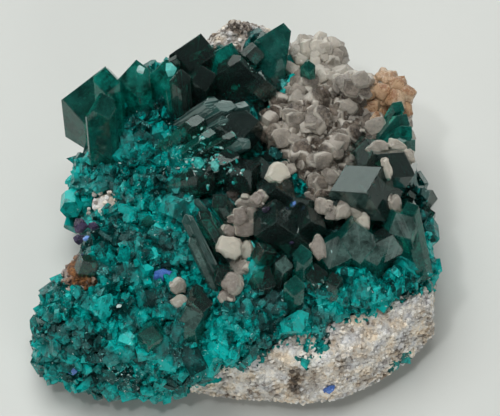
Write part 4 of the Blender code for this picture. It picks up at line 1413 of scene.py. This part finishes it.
class Facets:
    """The small crystals whose faces flash, with their flash painted into their colours."""

    OUTLINE = (0.8, 1.0, 0.8, 0.8, 1.0, 0.8)
    THICKNESS = 0.5
    # A facet wider than this is seated by its sides too.
    WIDE = 0.45
    # The least and the largest half width and height of the tiny facets, in clusters and between them.
    CLUSTERED = ((0.12, 0.07), (0.44, 0.24))
    SPARSE = ((0.08, 0.04), (0.24, 0.1))
    # How many places between the clusters are tried, and the stretch of the face that they lie in.
    SPREAD = 160
    STRETCH = ((-28, -27), (27, 22))
    # How many tiny white facets, painted glints, stand in which patches.
    CLUSTERS = (
        (Patch(-7.0, 8.0, 3.6), 40), (Patch(-3.6, 7.3, 3.2), 48), (Patch(-0.2, 5.6, 1.8), 14),
        (Patch(-4.5, 11.0, 1.8), 10), (Patch(-15.0, -22.7, 3.0), 8), (Patch(13.0, -9.5, 3.4), 9),
    )
    LISTED = {
        "blue": (
            BLUE_GLINT,
            (Facet(-8.9, -8.7, 1.3, 0.9, 20), Facet(-22.6, -23.2, 0.7, 0.6, 0), Facet(9.1, 1.6, 0.5, 0.3, 60),
             Facet(-20.9, -3.5, 0.5, 0.3, 30), Facet(14.9, -25.2, 0.8, 0.5, 40),
             Facet(16.6, -24.2, 0.5, 0.4, 0), Facet(13.6, -25.6, 0.4, 0.5, 20)),
        ),
        "violet": (
            VIOLET_GLINT,
            (Facet(-21.2, -2.0, 1.0, 1.1, 0), Facet(5.4, 0.7, 0.6, 0.4, 30), Facet(8.9, -4.4, 0.4, 0.3, 0),
             Facet(-21.8, -3.4, 0.8, 0.7, 40), Facet(-20.2, -1.4, 0.6, 0.8, 70)),
        ),
        "white": (
            WHITE_GLINT,
            (Facet(-13.0, 21.2, 0.6, 0.7, 20), Facet(-8.3, 21.2, 0.8, 1.0, 10), Facet(-4.1, 7.1, 0.8, 0.9, 0),
             Facet(-2.0, 6.7, 0.6, 0.8, 10), Facet(-16.0, -13.4, 0.4, 0.2, 30),
             Facet(-23.0, -20.6, 0.3, 0.2, 0), Facet(19.4, -11.0, 0.2, 0.4, 150)),
        ),
    }

    def __init__(self, perch: Ground, druse: Ground) -> None:
        """Faces that stand out of the whole surface, and tiny ones out of the druse."""
        self.perch = perch
        self.druse = druse

    def scattered(self) -> list[Facet]:
        """Tiny facets of painted glints, crowded where the druse sparkles and sparse over the rest of it."""
        chance = np.random.default_rng(53)
        made = []
        for patch, count in self.CLUSTERS:
            for right, up in chance.normal((patch.right, patch.up), 0.45 * patch.radius, (count, 2)):
                made.append(Facet(right, up, *chance.uniform(*self.CLUSTERED), chance.uniform(0, 360)))
        for right, up in chance.uniform(*self.STRETCH, (self.SPREAD, 2)):
            point = self.perch.behind(right, up)[0]
            if self.druse.tree.find_nearest(point, 0.3)[0] is not None:
                made.append(Facet(right, up, *chance.uniform(*self.SPARSE), chance.uniform(0, 360)))
        return made

    def seat(self, facet: Facet) -> Vector:
        """The place of a facet, as high as what lies under its middle and, for a wide one, its four sides."""
        steps = ((0, 0), (0.6, 0), (-0.6, 0), (0, 0.6), (0, -0.6)) if facet.width > self.WIDE else ((0, 0),)
        places = [(facet.right + x * facet.width, facet.up + y * facet.height) for x, y in steps]
        depth = max(FACE.place(self.perch.behind(*place)[0]).z for place in places)
        return FACE.point(facet.right, facet.up, depth)

    def build(self) -> None:
        """Models one small six-sided crystal and seats a copy at each place."""
        chance = np.random.default_rng(51)
        form = PrismForm()
        shapes = [Shape.taken_from(form.cut("facet", self.OUTLINE, 2.0, bevel=False))]
        lean = Matrix.Rotation(form.end_tilt, 4, "Y") @ Matrix.Rotation(math.pi, 4, "Z")
        for label, (finish, facets) in self.LISTED.items():
            crowd = Crowd(shapes)
            for facet in [*facets, *(self.scattered() if label == "white" else ())]:
                point = self.seat(facet)
                size = Matrix.Diagonal((facet.width, facet.height, min(self.THICKNESS, facet.width), 1))
                axis = (FACE.toward + Vector(chance.normal(0, 0.2, 3))).normalized()
                place = Matrix.Translation(point + axis * 0.1) @ turned_to(axis, facet.turn) @ size @ lean
                crowd.add(0, place, chance.uniform(0, 1) ** 3)
            piece = crowd.build(f"dioptase_facets_{label}")
            dress(piece, finish, Slot.DIOPTASE, "dioptase")


class Rock:
    """The grainy rock."""

    VOXEL = 0.5
    # The body sinks so far under the crust, above the foot, and stands at most so thick where it is bare.
    SINK = 0.8
    FOOT = 0.5
    THICKEST = 2.2
    GRAIN_SPACING = 0.72
    GRAIN_SIZES = (0.24, 0.56)
    GRAIN_RISE = 0.08
    GRAIN_FOOT = 0.8
    # The middle of the rusty corner, how far the rust reaches and the height below which it fades.
    RUST = (-21.7, -9.6)
    RUST_REACH = 4.0
    RUST_FOOT = 11.0
    # Where the rock is paler or darker.
    SHADES = (
        Patch(0.3, 26.5, 7.0, -0.38),
        Patch(-17.7, 0.9, 2.6, 0.05), Patch(-22.1, 0.1, 1.8, -0.1), Patch(-3.1, -20.5, 3.2, 0.4),
        # The first three patches on the next line, the crack's dark middle and two pits, are partly dark rock
        # and partly painted shade.
        Patch(-3.1, -20.7, 1.6, -1.0), Patch(9.1, -23.4, 1.5, -0.6), Patch(8.7, -25.0, 1.4, -0.5),
        Patch(3.0, -18.0, 1.4, 0.5), Patch(8.4, -16.0, 0.9, 0.6), Patch(6.4, -26.0, 1.2, -0.3),
    )

    def __init__(self, crust: Ground) -> None:
        """A rock under this crust."""
        self.crust = crust

    def tone_at(self, point: Vector) -> float:
        """How pale the rock is round a point, from 0 to 1."""
        return 0.7 + 0.5 * noise.noise(point / 2.6) + added(self.SHADES, point)

    @staticmethod
    def roughen(obj: bpy.types.Object, size: float, height: float) -> None:
        """Pushes the surface in and out in lumps of a size, by up to half a height each way."""
        lumps = bpy.data.textures.new("lumps", "CLOUDS")
        lumps.noise_scale = size * MM
        lumps.noise_depth = 2
        settings = {"strength": height * MM, "mid_level": 0.5, "texture_coords": "LOCAL"}
        Bench.modify(obj, "DISPLACE", texture=lumps, **settings)

    def rust_at(self, point: Vector) -> float:
        """How rusty the rock is at a point."""
        place = FACE.place(point)
        near = (place.xy - Vector(self.RUST)).length / self.RUST_REACH
        below = max(self.RUST_FOOT - point.z, 0) / self.RUST_REACH
        return unit(1.4 - near - below + 0.7 * noise.noise(point / 1.2))

    def body(self) -> bpy.types.Object:
        """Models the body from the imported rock."""
        obj = Bench.copy_of("matrix", "rock_body")
        Bench.modify(obj, "REMESH", mode="VOXEL", voxel_size=self.VOXEL * MM)
        self.roughen(obj, 3.0, 0.7)
        self.roughen(obj, 0.9, 0.35)
        tones, rust = [], []
        places = [(vertex.co / MM, vertex.normal.copy()) for vertex in obj.data.vertices]
        for vertex, (point, out) in zip(obj.data.vertices, places):
            cover = self.crust.reach(point, out, CRUST_REACH) if point.z > self.FOOT else None
            rise = 0.0
            if cover is not None:
                rise = (min(cover, self.THICKEST) + self.SINK) * bareness(point) - self.SINK
            vertex.co = (point + out * rise) * MM
            vertex.co.z = max(vertex.co.z, 0)
            tones.append(self.tone_at(point))
            rust.append(self.rust_at(point))
        Bench.note(obj.data, tone=tones, rim=rust)
        dress(obj, ROCK, Slot.ROCK, "matrix")
        return obj

    def grains(self) -> bpy.types.Object:
        """Models the grains that stand out of the bare rock."""
        grain = Bench.primitive(bpy.ops.mesh.primitive_ico_sphere_add, "grain", subdivisions=1, radius=MM)
        with Bench.editing(grain):
            Bench.cut(Vector((0, 0, 0.55 * MM)), Vector((0.2, 0.1, 1)))
            Bench.cut(Vector((0.6 * MM, 0, 0)), Vector((1, 0.3, 0.2)))
        crowd = Crowd([Shape.taken_from(grain)])
        chance = np.random.default_rng(31)
        for point, out in Ground([frame["nodes"]["matrix"]]).samples(self.GRAIN_SPACING, 9):
            cover = self.crust.reach(point, out, CRUST_REACH)
            covered = cover is not None and bareness(point) < 0.5
            if covered or point.z <= self.GRAIN_FOOT:
                continue
            if cover is not None:
                point = point + out * min(cover, self.THICKEST)
            axis = (out + Vector(chance.normal(0, 0.6, 3))).normalized()
            size = chance.uniform(*self.GRAIN_SIZES)
            width, height = size * chance.uniform(0.6, 1), size * chance.uniform(0.5, 0.9)
            stretch = Matrix.Diagonal((size, width, height, 1))
            seat = Matrix.Translation(point + out * self.GRAIN_RISE)
            place = seat @ turned_to(axis, chance.uniform(0, 360)) @ stretch
            tone = self.tone_at(point) + 0.05 + chance.normal(0, 0.2)
            crowd.add(0, place, unit(tone), self.rust_at(point))
        piece = crowd.build("rock_grains")
        dress(piece, ROCK, Slot.ROCK, "matrix")
        return piece


@dataclass(frozen=True)
class Softbox:
    """A light by its direction from the specimen, its distance, size and power, in metres and watts."""

    name: str
    direction: tuple[float, float, float]
    distance: float
    width: float
    height: float
    power: float
    reflected: bool = True


@dataclass(frozen=True)
class Studio:
    """The pale floor, the soft light and the camera."""

    floor_reach: float = 0.5
    floor_colour: Colour = (0.555, 0.572, 0.545)
    view_right: float = 2.5
    view_up: float = 0.59
    view_distance: float = 616.0
    lens: float = 293.75
    lights: tuple[Softbox, ...] = (
        Softbox("back", (-0.35, 0.88, 0.25), 0.8, 1.1, 0.5, 2.7),
        Softbox("overhead", (-0.15, 0.25, 0.9), 0.7, 0.5, 0.5, 4.5, reflected=False),
        Softbox("front", (0.3, -0.8, 0.4), 0.7, 0.4, 0.4, 1.4, reflected=False),
        Softbox("glint", (-0.25, -0.2, 0.9), 0.7, 0.06, 0.06, 0.8),
    )

    def floor(self) -> bpy.types.Object:
        """The floor, which isn't part of the specimen."""
        obj = Bench.primitive(bpy.ops.mesh.primitive_plane_add, "floor", size=2 * self.floor_reach)
        made = bpy.data.materials.new("floor")
        made.use_nodes = True
        tree = Tree(made.node_tree)
        where = tree.add("TexCoord").outputs["Object"]
        dark = tuple(0.985 * share for share in self.floor_colour)
        colour = tree.mix(tree.noise(where, 300.0, 2.0), dark, self.floor_colour)
        shader = tree.add("BsdfPrincipled", {"Base Color": colour, "Roughness": 0.8})
        tree.add("OutputMaterial", {"Surface": shader.outputs[0]})
        obj.data.materials.append(made)
        return obj

    def light(self) -> None:
        """Hangs the softboxes and sets the dim room round them."""
        for box in self.lights:
            data = bpy.data.lights.new(box.name, "AREA")
            data.energy = box.power
            data.shape = "RECTANGLE"
            data.size = box.width
            data.size_y = box.height
            obj = bpy.data.objects.new(box.name, data)
            obj.visible_glossy = box.reflected
            out = Vector(box.direction).normalized()
            obj.location = out * box.distance
            obj.rotation_euler = out.to_track_quat("Z", "Y").to_euler()
            bpy.context.scene.collection.objects.link(obj)
        world = bpy.data.worlds.new("room")
        bpy.context.scene.world = world
        world.use_nodes = True
        tree = Tree(world.node_tree)
        where = tree.add("TexCoord").outputs["Generated"]
        height = tree.add("SeparateXYZ", {0: where}).outputs["Z"]
        glow = tree.ramp(height, [(0.25, (0.62, 0.63, 0.62)), (0.6, (0.05, 0.05, 0.05))])
        back = tree.add("Background", {"Color": glow, "Strength": 1.0})
        tree.add("OutputWorld", {"Surface": back.outputs[0]})

    def camera(self) -> None:
        """Puts the camera at the photograph's angle."""
        data = bpy.data.cameras.new("camera")
        data.lens = self.lens
        data.clip_end = 10
        obj = bpy.data.objects.new("camera", data)
        obj.location = FACE.point(self.view_right, self.view_up, self.view_distance) * MM
        obj.rotation_euler = (math.pi / 2 - FACE.elevation, 0, 0)
        bpy.context.scene.collection.objects.link(obj)
        bpy.context.scene.camera = obj

    def build(self) -> None:
        """Sets the stage."""
        self.floor()
        self.light()
        self.camera()
        bpy.context.scene.view_settings.view_transform = "Standard"


def main() -> None:
    """Builds the specimen and its stage."""
    logging.basicConfig(level=logging.INFO, format="%(message)s")
    nodes = frame["nodes"]
    rock_surface = Ground([nodes["matrix"]])
    crust_surface = Ground([nodes["dioptase"]])
    rock = Rock(crust_surface)
    body = rock.body()
    rock.grains()
    prisms = Prisms(rock_surface).build()
    druse = Druse(rock_surface, crust_surface).build()
    calcite = Calcite().build()
    PerchedCalcite(Ground([prisms, *druse, *calcite])).build()
    Facets(Ground([body, prisms, *druse, *calcite]), Ground(druse)).build()
    Studio().build()


if __name__ == "__main__":
    main()
